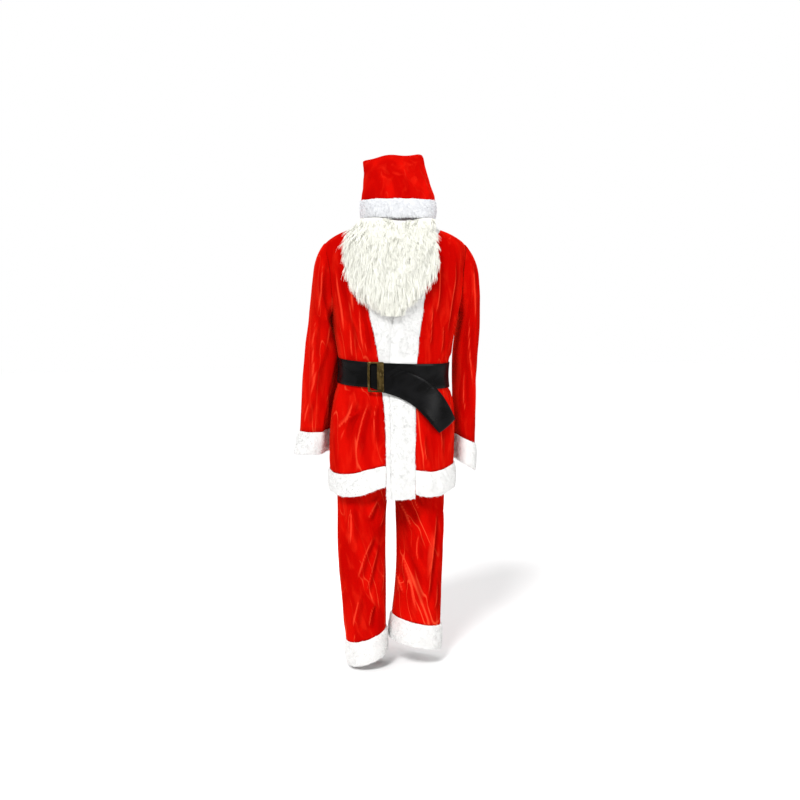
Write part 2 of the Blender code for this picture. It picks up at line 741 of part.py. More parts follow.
def make_leg(side, leg_name, cuff_name):
    seam_offset = seam_gap / 2

    def beside_seam(x, z):
        open_up = fade(crotch_z, crotch_z + 0.11, z)
        seam_x = smooth_row(torso_rows, max(z, -0.62)).centre * open_up + legs_centre * (1 - open_up)
        return seam_x + side * max(side * (x - seam_x), seam_offset)

    def leg(turn, z):
        row = smooth_row(leg_rows[side], z)
        middle = legs_centre + side * (row.outer + row.inner) / 2
        wide = (row.outer - row.inner) / 2
        swell = fold_height(leg_folds[side], degrees(turn), z)
        tube = Vector((middle + (wide + swell) * sin(turn), -(row.half_depth + swell) * cos(turn), z))
        open_up = fade(crotch_z, crotch_z + 0.11, z)
        if open_up > 0:
            part = (degrees(turn) - (-90 if side > 0 else 90)) / 360
            around = part * pi if side > 0 else pi + part * pi
            tube = tube * (1 - open_up) + hip(around, z) * open_up
            tube.x = beside_seam(tube.x, z)
        tube.x += side * seam_offset
        return tube

    def seam_level(turn):
        return leg_seam_z[side] - leg_seam_lean[side] * side * sin(turn)

    def cloth(turn, level, face):
        low = seam_level(turn) + seam_gap
        z = low + (waistband_low - trouser_top_gap - low) * level
        point = lifted(leg, turn, z, face * velvet_wall)
        if z > crotch_z - 0.2:
            point.x = beside_seam(point.x, point.z)
        return point

    def band(turn, level, face):
        z = seam_level(turn) - trouser_cuff_height * (1 - level)
        return lifted(leg, turn, z, face * plush_wall * rounded(level))

    start = radians(-90 if side > 0 else 90)
    turns = [start + leg_slit + (2 * pi - 2 * leg_slit) * part for part in spread(leg_columns)]
    wall(leg_name, cloth, turns, leg_levels, velvet)
    ring = [start + 2 * pi * index / 20 for index in range(20)]
    wall(cuff_name, band, ring, [0, 0.15, 0.5, 0.85, 1], plush, ring=True)


def make_waistband():
    def place(angle, z, face):
        return lifted(plain_torso, angle, z, -waistband_inset + waistband_wall * face)

    around = [2 * pi * index / 30 for index in range(30)]
    levels = spread(3, waistband_low, waistband_top)
    wall("waistband", place, around, levels, velvet, ring=True)


make_leg(1, "trouser_leg_left", "trouser_cuff_left")
make_leg(-1, "trouser_leg_right", "trouser_cuff_right")
make_waistband()

CrownRow = namedtuple("CrownRow", "place x y z half_width half_depth tilt")
hat_squareness = 2.4
crown_rows = [
    CrownRow(0.0, 0.0077, 0.000, hat_seam_z, 0.1165, 0.0745, 0),
    CrownRow(1.0, 0.0060, 0.003, 0.110, 0.1100, 0.0680, 0),
    CrownRow(2.0, 0.0030, 0.009, 0.140, 0.1030, 0.0570, 2),
    CrownRow(3.0, 0.0010, 0.018, 0.170, 0.0985, 0.0410, 8),
    CrownRow(4.0, 0.0005, 0.0285, 0.196, 0.0975, 0.0215, 25),
    CrownRow(5.0, 0.0000, 0.0360, 0.2130, 0.0965, 0.0140, 60),
    CrownRow(6.0, 0.0000, 0.0475, 0.2165, 0.0950, 0.0135, 92),
    CrownRow(7.0, 0.0000, 0.0610, 0.2110, 0.0930, 0.0130, 125),
    CrownRow(8.0, 0.0000, 0.0700, 0.1960, 0.0900, 0.0120, 152),
    CrownRow(9.0, 0.0000, 0.0780, 0.1680, 0.0820, 0.0105, 164),
    CrownRow(10.0, 0.0010, 0.0870, 0.1350, 0.0680, 0.0090, 166),
    CrownRow(11.0, 0.0020, 0.0960, 0.1000, 0.0460, 0.0075, 166),
    CrownRow(12.0, 0.0030, 0.1020, 0.0720, 0.0200, 0.0060, 168),
]
hat_folds = [
    Fold(58, 5.5, 70, -0.8, 9, 0.005),
    Fold(82, 4.4, 96, -0.8, 12, 0.004),
    Fold(-34, 6.2, -52, 0.8, 14, 0.003),
    Fold(-150, 4.0, -140, -0.6, 14, 0.003),
]
crown_around = 22
hat_seam_frown = 0.003
top_wave = 0.0045


def crown(turn, along):
    """The hat's crown: up from the band, folded over to the back, with its tip hanging behind."""
    row = smooth_row(crown_rows, along)
    tilt = radians(row.tilt)
    front = Vector((0, -cos(tilt), sin(tilt)))
    swell = fold_height(hat_folds, degrees(turn), along)
    across = sin(turn)
    ahead = cos(turn)
    reach = (abs(across) ** hat_squareness + abs(ahead) ** hat_squareness) ** (-1 / hat_squareness)
    point = Vector((row.x, row.y, row.z)) + front * (row.half_depth + swell) * reach * ahead
    point.x += (row.half_width + swell) * reach * across
    point.z -= hat_seam_frown * (1 - cos(2 * turn)) / 2 * fade(1.2, 0.0, along)
    lift = fade(2.5, 5.0, along) * fade(9.0, 7.0, along)
    point.z += lift * top_wave * (cos((point.x + 0.012) * 58) - 0.4 + point.x * 22)
    return point


def make_hat():
    around = [2 * pi * index / crown_around for index in range(crown_around)]

    def cloth(turn, along, face):
        return lifted(crown, turn, along, face * velvet_wall)

    def band(turn, z, face):
        row = crown_rows[0]
        part = (z - hat_band_low) / (hat_seam_z - hat_band_low)
        wide = row.half_width - 0.004 * (1 - part) + face * plush_wall * rounded(part)
        deep = row.half_depth - 0.002 * (1 - part) + face * plush_wall * rounded(part)
        across = sin(turn)
        ahead = cos(turn)
        reach = (abs(across) ** hat_squareness + abs(ahead) ** hat_squareness) ** (-1 / hat_squareness)
        frown = -hat_seam_frown * (1 - cos(2 * turn)) / 2 * part
        return Vector((row.x + wide * reach * across, row.y - deep * reach * ahead,
                       z + frown - seam_gap * part))

    places = [0.0, 0.5] + [float(place) for place in range(1, 13)]
    wall("hat_crown", cloth, around, places, velvet, ring=True)
    height = hat_seam_z - hat_band_low
    wall("hat_band", band, around, [hat_band_low + height * part for part in (0, 0.15, 0.5, 0.85, 1)],
         plush, ring=True)


make_hat()

BeardRow = namedtuple("BeardRow", "down centre half_width top_blend thick")
beard_rows = [
    BeardRow(0.000, 0.000, 0.108, 1.00, 0.012),
    BeardRow(0.030, -0.022, 0.124, 0.72, 0.018),
    BeardRow(0.065, -0.034, 0.133, 0.30, 0.024),
    BeardRow(0.100, -0.037, 0.138, 0.06, 0.027),
    BeardRow(0.135, -0.038, 0.138, 0.00, 0.027),
    BeardRow(0.170, -0.041, 0.130, 0.00, 0.026),
    BeardRow(0.205, -0.047, 0.108, 0.00, 0.024),
    BeardRow(0.240, -0.048, 0.078, 0.00, 0.020),
    BeardRow(0.270, -0.040, 0.040, 0.00, 0.014),
    BeardRow(0.290, -0.036, 0.012, 0.00, 0.009),
]
beard_top = hat_band_low - seam_gap
beard_top_dip = 0.013
beard_lift = 0.0156
beard_neck_z = 0.018
beard_shoulder_z = -0.012
beard_shoulder_rise = 0.005
beard_tuft = 0.006
beard_columns = 17
beard_levels = [0.0, 0.035, 0.09, 0.15, 0.21, 0.28, 0.35, 0.42, 0.49, 0.56, 0.63, 0.70, 0.77, 0.84,
                0.91, 0.96, 1.0]


def beard(across, down):
    """The beard's back: from under the hat band down over the chest; across runs from -1 to 1."""
    row = smooth_row(beard_rows, down)
    x = row.centre + row.half_width * across
    dip = beard_top_dip * fade(0.75, 0.1, abs(across)) * fade(0.08, 0.0, down)
    z = beard_top - down - dip
    crown_row = crown_rows[0]
    part = min(abs(x - crown_row.x) / 0.114, 0.98)
    under_band = -(crown_row.half_depth + 0.001) * (1 - part ** hat_squareness) ** (1 / hat_squareness)
    level = min(z, -0.05)
    chest = lifted(plain_torso, torso_angle(x, level), level, beard_lift)
    level = min(z, beard_neck_z + (beard_shoulder_z - beard_neck_z) * fade(0.055, 0.092, abs(x)))
    rise = beard_shoulder_rise * fade(-0.15, -0.08, z)
    shoulder = lifted(plain_torso, torso_angle(x, level), level, beard_lift + rise)
    y = min(under_band * row.top_blend + chest.y * (1 - row.top_blend), shoulder.y)
    return Vector((x, y, z))


def make_beard():
    def place(across, level, face):
        down = beard_rows[-1].down * level
        row = smooth_row(beard_rows, down)
        index = beard_levels.index(level)
        tuft = 1 + (beard_tuft / row.half_width) * (1 if index % 2 else -0.4) * abs(across) ** 6
        point = beard(across * tuft, down)
        crowned = 0.35 + 0.65 * (1 - abs(across) ** 3)
        locks = 0.0022 * sin(9 * across + 34 * down) + 0.0018 * sin(17 * across - 50 * down)
        thick = row.thick * crowned + locks * fade(0, 0.05, down)
        return point + Vector((0.10 * across, -1, 0)).normalized() * face * thick

    wall("beard", place, spread(beard_columns, -1, 1), beard_levels[::-1], beard_plush)


make_beard()
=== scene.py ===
from math import cos, pi, radians, sin

import bmesh
import bpy
import numpy as np
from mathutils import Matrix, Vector, noise


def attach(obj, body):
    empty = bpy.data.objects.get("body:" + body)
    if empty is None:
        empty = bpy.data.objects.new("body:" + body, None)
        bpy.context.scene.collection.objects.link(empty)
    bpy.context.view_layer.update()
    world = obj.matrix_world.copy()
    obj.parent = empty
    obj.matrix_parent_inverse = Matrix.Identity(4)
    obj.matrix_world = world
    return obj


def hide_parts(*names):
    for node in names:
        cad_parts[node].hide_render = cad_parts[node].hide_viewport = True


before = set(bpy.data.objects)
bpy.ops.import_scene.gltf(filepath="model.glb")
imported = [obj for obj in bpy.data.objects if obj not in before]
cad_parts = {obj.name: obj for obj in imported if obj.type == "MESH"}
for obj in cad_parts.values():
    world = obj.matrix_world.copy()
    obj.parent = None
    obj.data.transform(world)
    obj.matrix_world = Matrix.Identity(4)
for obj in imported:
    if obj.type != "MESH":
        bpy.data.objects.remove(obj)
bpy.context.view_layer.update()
scene = bpy.context.scene

# The camera, the floor and the lights
studio = {
    "cameraPlace": (-0.735, -3.524, -0.20),
    "cameraTilt": 84.42,
    "cameraTurn": -12.0,
    "lens": 50.6,
    "floorZ": -1.417,
    "floorHalf": 14.0,
    "floorColour": (0.95, 0.95, 0.95),
    "floorRoughness": 0.9,
    "skyColour": (1.0, 1.0, 1.0),
    "skyStrength": 0.50,
    "skySeen": 1.0,
    "sunFrom": (-0.60, -0.95, 1.05),
    "sunStrength": 2.7,
    "sunSpread": 16.0,
}
areaLights = [
    # name, place, aimed at, size, watts
    ("sideLight", (2.4, -2.0, 0.5), (0.0, 0.0, -0.5), 0.9, 26),
    ("topLight", (0.2, 0.9, 2.4), (0.0, 0.0, -0.3), 1.2, 26),
    ("backLight", (-1.2, 3.0, 0.6), (0.0, 0.0, -0.5), 1.6, 30),
]


def makeFloorMaterial():
    made = bpy.data.materials.new("paleFloor")
    made.use_nodes = True
    shader = made.node_tree.nodes["Principled BSDF"]
    shader.inputs["Base Color"].default_value = (*studio["floorColour"], 1)
    shader.inputs["Roughness"].default_value = studio["floorRoughness"]
    return made


def makeStudio():
    camera = bpy.data.objects.new("camera", bpy.data.cameras.new("camera"))
    camera.location = studio["cameraPlace"]
    camera.rotation_euler = (radians(studio["cameraTilt"]), 0, radians(studio["cameraTurn"]))
    camera.data.lens = studio["lens"]
    camera.data.sensor_width = 36
    scene.collection.objects.link(camera)
    scene.camera = camera

    half = studio["floorHalf"]
    floorMesh = bpy.data.meshes.new("studioFloor")
    corners = [(-half, -half, studio["floorZ"]), (half, -half, studio["floorZ"]),
               (half, half, studio["floorZ"]), (-half, half, studio["floorZ"])]
    floorMesh.from_pydata(corners, [], [(0, 1, 2, 3)])
    floorMesh.materials.append(makeFloorMaterial())
    floor = bpy.data.objects.new("studioFloor", floorMesh)
    scene.collection.objects.link(floor)

    sky = bpy.data.worlds.new("paleSky")
    sky.use_nodes = True
    backdrop = sky.node_tree.nodes["Background"]
    backdrop.inputs["Color"].default_value = (*studio["skyColour"], 1)
    # the sky looks white but lights the suit less, so that folds keep their shade
    seen = sky.node_tree.nodes.new("ShaderNodeLightPath")
    strength = sky.node_tree.nodes.new("ShaderNodeMapRange")
    strength.inputs["To Min"].default_value = studio["skyStrength"]
    strength.inputs["To Max"].default_value = studio["skySeen"]
    sky.node_tree.links.new(seen.outputs["Is Camera Ray"], strength.inputs["Value"])
    sky.node_tree.links.new(strength.outputs["Result"], backdrop.inputs["Strength"])
    scene.world = sky
    scene.view_settings.view_transform = "Standard"

    sun = bpy.data.objects.new("softSun", bpy.data.lights.new("softSun", "SUN"))
    sun.data.energy = studio["sunStrength"]
    sun.data.angle = radians(studio["sunSpread"])
    sun.rotation_euler = (-Vector(studio["sunFrom"])).to_track_quat("-Z", "Y").to_euler()
    scene.collection.objects.link(sun)

    for name, place, target, size, watts in areaLights:
        lamp = bpy.data.lights.new(name, "AREA")
        lamp.size = size
        lamp.energy = watts
        light = bpy.data.objects.new(name, lamp)
        light.location = place
        light.rotation_euler = (Vector(target) - Vector(place)).to_track_quat("-Z", "Y").to_euler()
        scene.collection.objects.link(light)


makeStudio()
print("studio ready")

# Shader node groups, each one built once and placed in several materials


def newGroup(name, inputs, outputs):
    group = bpy.data.node_groups.new(name, "ShaderNodeTree")
    for label, value in inputs:
        socket = group.interface.new_socket(label, in_out="INPUT", socket_type="NodeSocketFloat")
        socket.default_value = value
    for label in outputs:
        group.interface.new_socket(label, in_out="OUTPUT", socket_type="NodeSocketFloat")
    entry = group.nodes.new("NodeGroupInput")
    leave = group.nodes.new("NodeGroupOutput")
    return group, entry, leave


def addNode(tree, kind, **settings):
    node = tree.nodes.new(kind)
    for key, value in settings.items():
        setattr(node, key, value)
    return node


def addMath(tree, operation, first, second):
    node = addNode(tree, "ShaderNodeMath", operation=operation)
    for socket, value in zip(node.inputs, (first, second)):
        if isinstance(value, (int, float)):
            socket.default_value = value
        else:
            tree.links.new(value, socket)
    return node.outputs[0]


def addRange(tree, value, low, high, newLow=0.0, newHigh=1.0):
    node = addNode(tree, "ShaderNodeMapRange", interpolation_type="SMOOTHSTEP")
    tree.links.new(value, node.inputs["Value"])
    labels = ("From Min", "From Max", "To Min", "To Max")
    for label, number in zip(labels, (low, high, newLow, newHigh)):
        node.inputs[label].default_value = number
    return node.outputs["Result"]


def addNoise(tree, spot, scale, detail, distortion=0.0):
    node = addNode(tree, "ShaderNodeTexNoise")
    tree.links.new(spot, node.inputs["Vector"])
    for label, value in (("Scale", scale), ("Detail", detail), ("Distortion", distortion)):
        if isinstance(value, (int, float)):
            node.inputs[label].default_value = value
        else:
            tree.links.new(value, node.inputs[label])
    return node


def addStretch(tree, spot, stretch):
    node = addNode(tree, "ShaderNodeVectorMath", operation="MULTIPLY")
    tree.links.new(spot, node.inputs[0])
    if isinstance(stretch, tuple):
        node.inputs[1].default_value = stretch
    else:
        tree.links.new(stretch, node.inputs[1])
    return node.outputs["Vector"]


napPattern = {
    "broad": (9.0, 3.0, 0.9),   # scale, detail, distortion
    "fine": (34.0, 4.0, 0.6),
    "lines": (24.0, 0.0, 0.0),
    "lineStretch": (1.0, 1.0, 0.15),
    "lineHalfWidth": (0.014, 0.001),
    "patchRange": (0.36, 0.66),
    "streakRange": (0.50, 0.74),
    "linedPatches": (0.44, 0.60),
}


def makeBrushedNap():
    # Patches of pile that lie one way or the other, drawn out along the cloth
    group, entry, leave = newGroup("brushedNap", [("Size", 1.0), ("Stretch", 0.3), ("Turn", 0.0)],
                                   ["Patches", "Streaks", "Lines", "Height"])
    link = group.links.new
    place = addNode(group, "ShaderNodeTexCoord")
    turned = addNode(group, "ShaderNodeVectorRotate", rotation_type="Y_AXIS")
    link(place.outputs["Object"], turned.inputs["Vector"])
    link(entry.outputs["Turn"], turned.inputs["Angle"])
    scaled = addNode(group, "ShaderNodeCombineXYZ")
    link(entry.outputs["Size"], scaled.inputs["X"])
    link(entry.outputs["Size"], scaled.inputs["Y"])
    drawnOut = addMath(group, "MULTIPLY", entry.outputs["Size"], entry.outputs["Stretch"])
    link(drawnOut, scaled.inputs["Z"])
    spot = addStretch(group, turned.outputs["Vector"], scaled.outputs["Vector"])
    broad = addNoise(group, spot, *napPattern["broad"]).outputs["Fac"]
    fine = addNoise(group, spot, *napPattern["fine"]).outputs["Fac"]
    # a thin painted highlight line wherever a third noise crosses its middle value
    drawn = addStretch(group, spot, napPattern["lineStretch"])
    vein = addNoise(group, drawn, *napPattern["lines"]).outputs["Fac"]
    apart = addMath(group, "ABSOLUTE", addMath(group, "SUBTRACT", vein, 0.5), 0.0)
    thin = addRange(group, apart, *napPattern["lineHalfWidth"])
    lined = addMath(group, "MULTIPLY", thin, addRange(group, broad, *napPattern["linedPatches"]))
    link(lined, leave.inputs["Lines"])
    link(addRange(group, broad, *napPattern["patchRange"]), leave.inputs["Patches"])
    link(addRange(group, fine, *napPattern["streakRange"]), leave.inputs["Streaks"])
    link(addMath(group, "ADD", broad, fine), leave.inputs["Height"])
    return group


grainPattern = {"detail": 2.0, "speckleRange": (0.42, 0.62)}


def makePileGrain():
    # The tips of a short pile, or the pebbled grain of vinyl
    group, entry, leave = newGroup("pileGrain", [("Size", 900.0), ("Softness", 0.5)],
                                   ["Height", "Speckle"])
    place = addNode(group, "ShaderNodeTexCoord")
    grain = addNoise(group, place.outputs["Object"], entry.outputs["Size"], grainPattern["detail"])
    group.links.new(entry.outputs["Softness"], grain.inputs["Roughness"])
    group.links.new(grain.outputs["Fac"], leave.inputs["Height"])
    speckle = addRange(group, grain.outputs["Fac"], *grainPattern["speckleRange"])
    group.links.new(speckle, leave.inputs["Speckle"])
    return group


lockPattern = {"detail": 3.0, "distortion": 0.5, "hollowRange": (0.58, 0.36)}


def makeLocks():
    # Painted shade in the hollows between the locks of a long pile
    group, entry, leave = newGroup("pileLocks", [("Size", 60.0), ("Stretch", 0.35)],
                                   ["Hollows", "Height"])
    place = addNode(group, "ShaderNodeTexCoord")
    scaled = addNode(group, "ShaderNodeCombineXYZ")
    scaled.inputs["X"].default_value = 1.0
    scaled.inputs["Y"].default_value = 1.0
    group.links.new(entry.outputs["Stretch"], scaled.inputs["Z"])
    spot = addStretch(group, place.outputs["Object"], scaled.outputs["Vector"])
    locks = addNoise(group, spot, entry.outputs["Size"], lockPattern["detail"],
                     lockPattern["distortion"])
    hollows = addRange(group, locks.outputs["Fac"], *lockPattern["hollowRange"])
    group.links.new(hollows, leave.inputs["Hollows"])
    group.links.new(locks.outputs["Fac"], leave.inputs["Height"])
    return group


brushedNap = makeBrushedNap()
pileGrain = makePileGrain()
pileLocks = makeLocks()


def placeGroup(tree, group, **values):
    node = tree.nodes.new("ShaderNodeGroup")
    node.node_tree = group
    for key, value in values.items():
        node.inputs[key].default_value = value
    return node


def mixColour(tree, mask, first, second):
    node = addNode(tree, "ShaderNodeMix", data_type="RGBA")
    tree.links.new(mask, node.inputs["Factor"])
    for socket, value in ((node.inputs["A"], first), (node.inputs["B"], second)):
        if isinstance(value, tuple):
            socket.default_value = (*value, 1)
        else:
            tree.links.new(value, socket)
    return node.outputs["Result"]


def addBump(tree, height, strength, distance, under=None):
    bump = addNode(tree, "ShaderNodeBump")
    bump.inputs["Strength"].default_value = strength
    bump.inputs["Distance"].default_value = distance
    tree.links.new(height, bump.inputs["Height"])
    if under is not None:
        tree.links.new(under, bump.inputs["Normal"])
    return bump.outputs["Normal"]


def layBumps(tree, shader, large, grain, looks):
    # The fine grain over the large soft shapes
    soft = addBump(tree, large.outputs["Height"], *looks["softBump"])
    fine = addBump(tree, grain.outputs["Height"], *looks["grainBump"], soft)
    tree.links.new(fine, shader.inputs["Normal"])


def startMaterial(name):
    made = bpy.data.materials.new(name)
    made.use_nodes = True
    return made, made.node_tree, made.node_tree.nodes["Principled BSDF"]


def setSockets(shader, values):
    for label, value in values.items():
        shader.inputs[label].default_value = value


velvet = {
    "gloss": {"Sheen Weight": 0.36, "Sheen Roughness": 0.30, "Sheen Tint": (1.0, 0.08, 0.03, 1),
              "Specular IOR Level": 0.0},
    "laidDown": (0.44, 0.0014, 0.0006),
    "laidUp": (0.62, 0.0040, 0.0014),
    "streak": (0.80, 0.022, 0.008),
    "streakStrength": 0.35,
    # the colour of the thin painted highlight lines
    "line": (1.0, 0.13, 0.05),
    # painted highlight on the fold ridges and painted shade in the fold hollows
    "paintedRidgeHighlight": (1.0, 0.085, 0.035),
    "paintedRidgeHighlightRange": (0.30, 1.0, 0.0, 0.50),
    "paintedHollowShade": (0.26, 0.0004, 0.0003),
    "paintedHollowShadeRange": (-0.05, -0.8, 0.0, 0.45),
    "speckle": (0.28, 0.001, 0.001),
    "speckleStrength": 0.25,
    "roughnessRange": (0.0, 1.0, 0.52, 0.38),
    "grain": {"Size": 1500.0, "Softness": 0.6},
    "softBump": (0.40, 0.006),       # strength, distance
    "grainBump": (0.25, 0.0006),
}


def makeVelvet(name, napSize, napStretch, napTurn, lineStrength):
    made, tree, shader = startMaterial(name)
    setSockets(shader, velvet["gloss"])
    napAndPaintedLight = placeGroup(tree, brushedNap, Size=napSize, Stretch=napStretch, Turn=napTurn)
    grain = placeGroup(tree, pileGrain, **velvet["grain"])
    colour = mixColour(tree, napAndPaintedLight.outputs["Patches"], velvet["laidDown"], velvet["laidUp"])
    streaks = addMath(tree, "MULTIPLY", napAndPaintedLight.outputs["Streaks"], velvet["streakStrength"])
    colour = mixColour(tree, streaks, colour, velvet["streak"])
    # thin painted highlight lines over the nap
    lines = addMath(tree, "MULTIPLY", napAndPaintedLight.outputs["Lines"], lineStrength)
    colour = mixColour(tree, lines, colour, velvet["line"])
    # each fold piece carries painted highlight on its ridges and painted shade in its hollows, read
    # here from its mesh attribute
    painted = addNode(tree, "ShaderNodeAttribute", attribute_name="napAndPaintedLight").outputs["Fac"]
    for mark in ("paintedRidgeHighlight", "paintedHollowShade"):
        marked = addRange(tree, painted, *velvet[mark + "Range"])
        colour = mixColour(tree, marked, colour, velvet[mark])
    speckle = addMath(tree, "MULTIPLY", grain.outputs["Speckle"], velvet["speckleStrength"])
    tree.links.new(mixColour(tree, speckle, colour, velvet["speckle"]), shader.inputs["Base Color"])
    roughness = addRange(tree, napAndPaintedLight.outputs["Patches"], *velvet["roughnessRange"])
    tree.links.new(roughness, shader.inputs["Roughness"])
    layBumps(tree, shader, napAndPaintedLight, grain, velvet)
    return made


plush = {
    "gloss": {"Roughness": 0.95, "Sheen Weight": 0.35, "Sheen Roughness": 0.6,
              "Specular IOR Level": 0.12},
    "paintedShadeStrength": 0.30,
    "grain": {"Size": 700.0, "Softness": 0.7},
    "softBump": (0.3, 0.004),
    "grainBump": (0.35, 0.0015),
}


def makePlush(name, light, shade, locksSize, locksStretch):
    made, tree, shader = startMaterial(name)
    setSockets(shader, plush["gloss"])
    locks = placeGroup(tree, pileLocks, Size=locksSize, Stretch=locksStretch)
    grain = placeGroup(tree, pileGrain, **plush["grain"])
    # painted shade in the hollows between the locks
    hollow = addMath(tree, "MULTIPLY", locks.outputs["Hollows"], plush["paintedShadeStrength"])
    tree.links.new(mixColour(tree, hollow, light, shade), shader.inputs["Base Color"])
    layBumps(tree, shader, locks, grain, plush)
    return made


vinyl = {
    "gloss": {"Specular IOR Level": 0.06, "Coat Weight": 0.03, "Coat Roughness": 0.22},
    "dull": (0.0022, 0.0022, 0.0022),
    # a lighter colour in the smeared patches, a painted sheen
    "paintedSheen": (0.0050, 0.0050, 0.0054),
    "roughnessRange": (0.0, 1.0, 0.26, 0.36),
    "smears": {"Size": 1.3, "Stretch": 1.6, "Turn": 0.4},
    "grain": {"Size": 620.0, "Softness": 0.4},
    "softBump": (0.15, 0.003),
    "grainBump": (0.22, 0.0005),
}


def makeVinyl():
    made, tree, shader = startMaterial("beltVinyl")
    setSockets(shader, vinyl["gloss"])
    smears = placeGroup(tree, brushedNap, **vinyl["smears"])
    grain = placeGroup(tree, pileGrain, **vinyl["grain"])
    # the smeared patches get a lighter painted sheen colour
    colour = mixColour(tree, smears.outputs["Patches"], vinyl["dull"], vinyl["paintedSheen"])
    tree.links.new(colour, shader.inputs["Base Color"])
    roughness = addRange(tree, smears.outputs["Patches"], *vinyl["roughnessRange"])
    tree.links.new(roughness, shader.inputs["Roughness"])
    layBumps(tree, shader, smears, grain, vinyl)
    return made


bronze = {
    "aged": (0.048, 0.032, 0.010),
    "cleaner": (0.105, 0.070, 0.022),
    "worn": (0.26, 0.19, 0.075),
    "wornStrength": 0.5,
    "roughnessRange": (0.0, 1.0, 0.30, 0.48),
    "smears": {"Size": 6.0, "Stretch": 0.5, "Turn": 0.2},
    "grain": {"Size": 1100.0, "Softness": 0.6},
    "grainBump": (0.2, 0.0003),
}


def makeBronze():
    made, tree, shader = startMaterial("buckleBronze")
    setSockets(shader, {"Metallic": 1.0})
    smears = placeGroup(tree, brushedNap, **bronze["smears"])
    grain = placeGroup(tree, pileGrain, **bronze["grain"])
    colour = mixColour(tree, smears.outputs["Patches"], bronze["aged"], bronze["cleaner"])
    worn = addMath(tree, "MULTIPLY", smears.outputs["Streaks"], bronze["wornStrength"])
    tree.links.new(mixColour(tree, worn, colour, bronze["worn"]), shader.inputs["Base Color"])
    roughness = addRange(tree, grain.outputs["Speckle"], *bronze["roughnessRange"])
    tree.links.new(roughness, shader.inputs["Roughness"])
    pitted = addBump(tree, grain.outputs["Height"], *bronze["grainBump"])
    tree.links.new(pitted, shader.inputs["Normal"])
    return made


finishes = {
    # velvet: size, stretch and turn of the nap, strength of its painted highlight lines
    "jacketVelvet": makeVelvet("jacketVelvet", 1.0, 0.30, 0.10, 0.50),
    "sleeveVelvet": makeVelvet("sleeveVelvet", 1.1, 0.26, 0.0, 0.38),
    "legVelvet": makeVelvet("legVelvet", 0.9, 0.30, 0.35, 0.50),
    "hatVelvet": makeVelvet("hatVelvet", 1.1, 0.34, -0.05, 0.10),
    # plush: colour, painted shade colour in the hollows, size and stretch of the locks
    "trimPlush": makePlush("trimPlush", (0.80, 0.80, 0.79), (0.75, 0.75, 0.74), 60.0, 0.7),
    "hatPlush": makePlush("hatPlush", (0.76, 0.77, 0.79), (0.69, 0.70, 0.73), 60.0, 0.7),
    "beardPlush": makePlush("beardPlush", (0.93, 0.93, 0.86), (0.86, 0.86, 0.77), 40.0, 0.25),
    "beltVinyl": makeVinyl(),
    "buckleBronze": makeBronze(),
}
print("finishes ready")


# A cloth or plush piece starts as a fine copy of its solid


copying = {"mergeWithin": 2e-5, "rimAngle": radians(50), "shadedEdge": radians(60)}


def smoothCopy(nodeName, pieceName, levels, rimSharpness):
    shell = bmesh.new()
    shell.from_mesh(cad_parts[nodeName].data)
    bmesh.ops.remove_doubles(shell, verts=shell.verts, dist=copying["mergeWithin"])
    bmesh.ops.join_triangles(shell, faces=shell.faces, angle_face_threshold=pi,
                             angle_shape_threshold=pi)
    rims = shell.edges.layers.float.new("crease_edge")
    for edge in shell.edges:
        if edge.is_manifold and edge.calc_face_angle() > copying["rimAngle"]:
            edge[rims] = rimSharpness
    mesh = bpy.data.meshes.new(pieceName)
    shell.to_mesh(mesh)
    shell.free()
    piece = bpy.data.objects.new(pieceName, mesh)
    scene.collection.objects.link(piece)
    smoother = piece.modifiers.new("smooth", "SUBSURF")
    smoother.levels = levels
    smoother.render_levels = levels
    graph = bpy.context.evaluated_depsgraph_get()
    fine = bpy.data.meshes.new_from_object(piece.evaluated_get(graph))
    piece.modifiers.clear()
    piece.data = fine
    piece.data.name = pieceName
    return piece


def readPoints(piece):
    points = np.zeros(len(piece.data.vertices) * 3)
    piece.data.vertices.foreach_get("co", points)
    return points.reshape(-1, 3)


def readNormals(piece):
    normals = np.zeros(len(piece.data.vertices) * 3, np.float32)
    piece.data.vertices.foreach_get("normal", normals)
    return normals.reshape(-1, 3).astype(float)


def writePoints(piece, points):
    piece.data.vertices.foreach_set("co", points.astype(np.float32).ravel())
    piece.data.update()


def finishPiece(piece, finish, slotName, *nodes):
    piece.data.materials.clear()
    piece.data.materials.append(finishes[finish])
    piece.data.shade_smooth()
    piece.data.set_sharp_from_angle(angle=copying["shadedEdge"])
    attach(piece, "root")
    if nodes:
        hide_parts(*nodes)


def fadeIn(start, end, value):
    part = np.clip((value - start) / (end - start), 0.0, 1.0)
    return part * part * (3 - 2 * part)


def awayFromAxis(points, axis):
    # Level direction out from a piece's middle line; axis rows are height, x, y
    heights = [row[0] for row in axis]
    middleX = np.interp(points[:, 2], heights, [row[1] for row in axis])
    middleY = np.interp(points[:, 2], heights, [row[2] for row in axis])
    out = np.zeros_like(points)
    out[:, 0] = points[:, 0] - middleX
    out[:, 1] = points[:, 1] - middleY
    return out / np.maximum(np.linalg.norm(out, axis=1), 1e-6)[:, None]


foldShape = {
    "depth": 1.10,
    "wander": 0.35,          # how far a fold strays, against its width
    "widthFrom": 0.65,       # narrow at its start, wider at its end
    "widthGain": 0.5,
    "hollowAside": 1.7,      # the hollow beside the ridge
    "hollowDepth": 0.55,
    # the strength of the painted shade in that hollow
    "hollowShadeAmount": 0.8,
    "lineSharpness": 4.0,    # the painted highlight line along the ridge, and the soft painted light beside it
    "glowStrength": 0.35,
    "glowSharpness": 0.9,
}


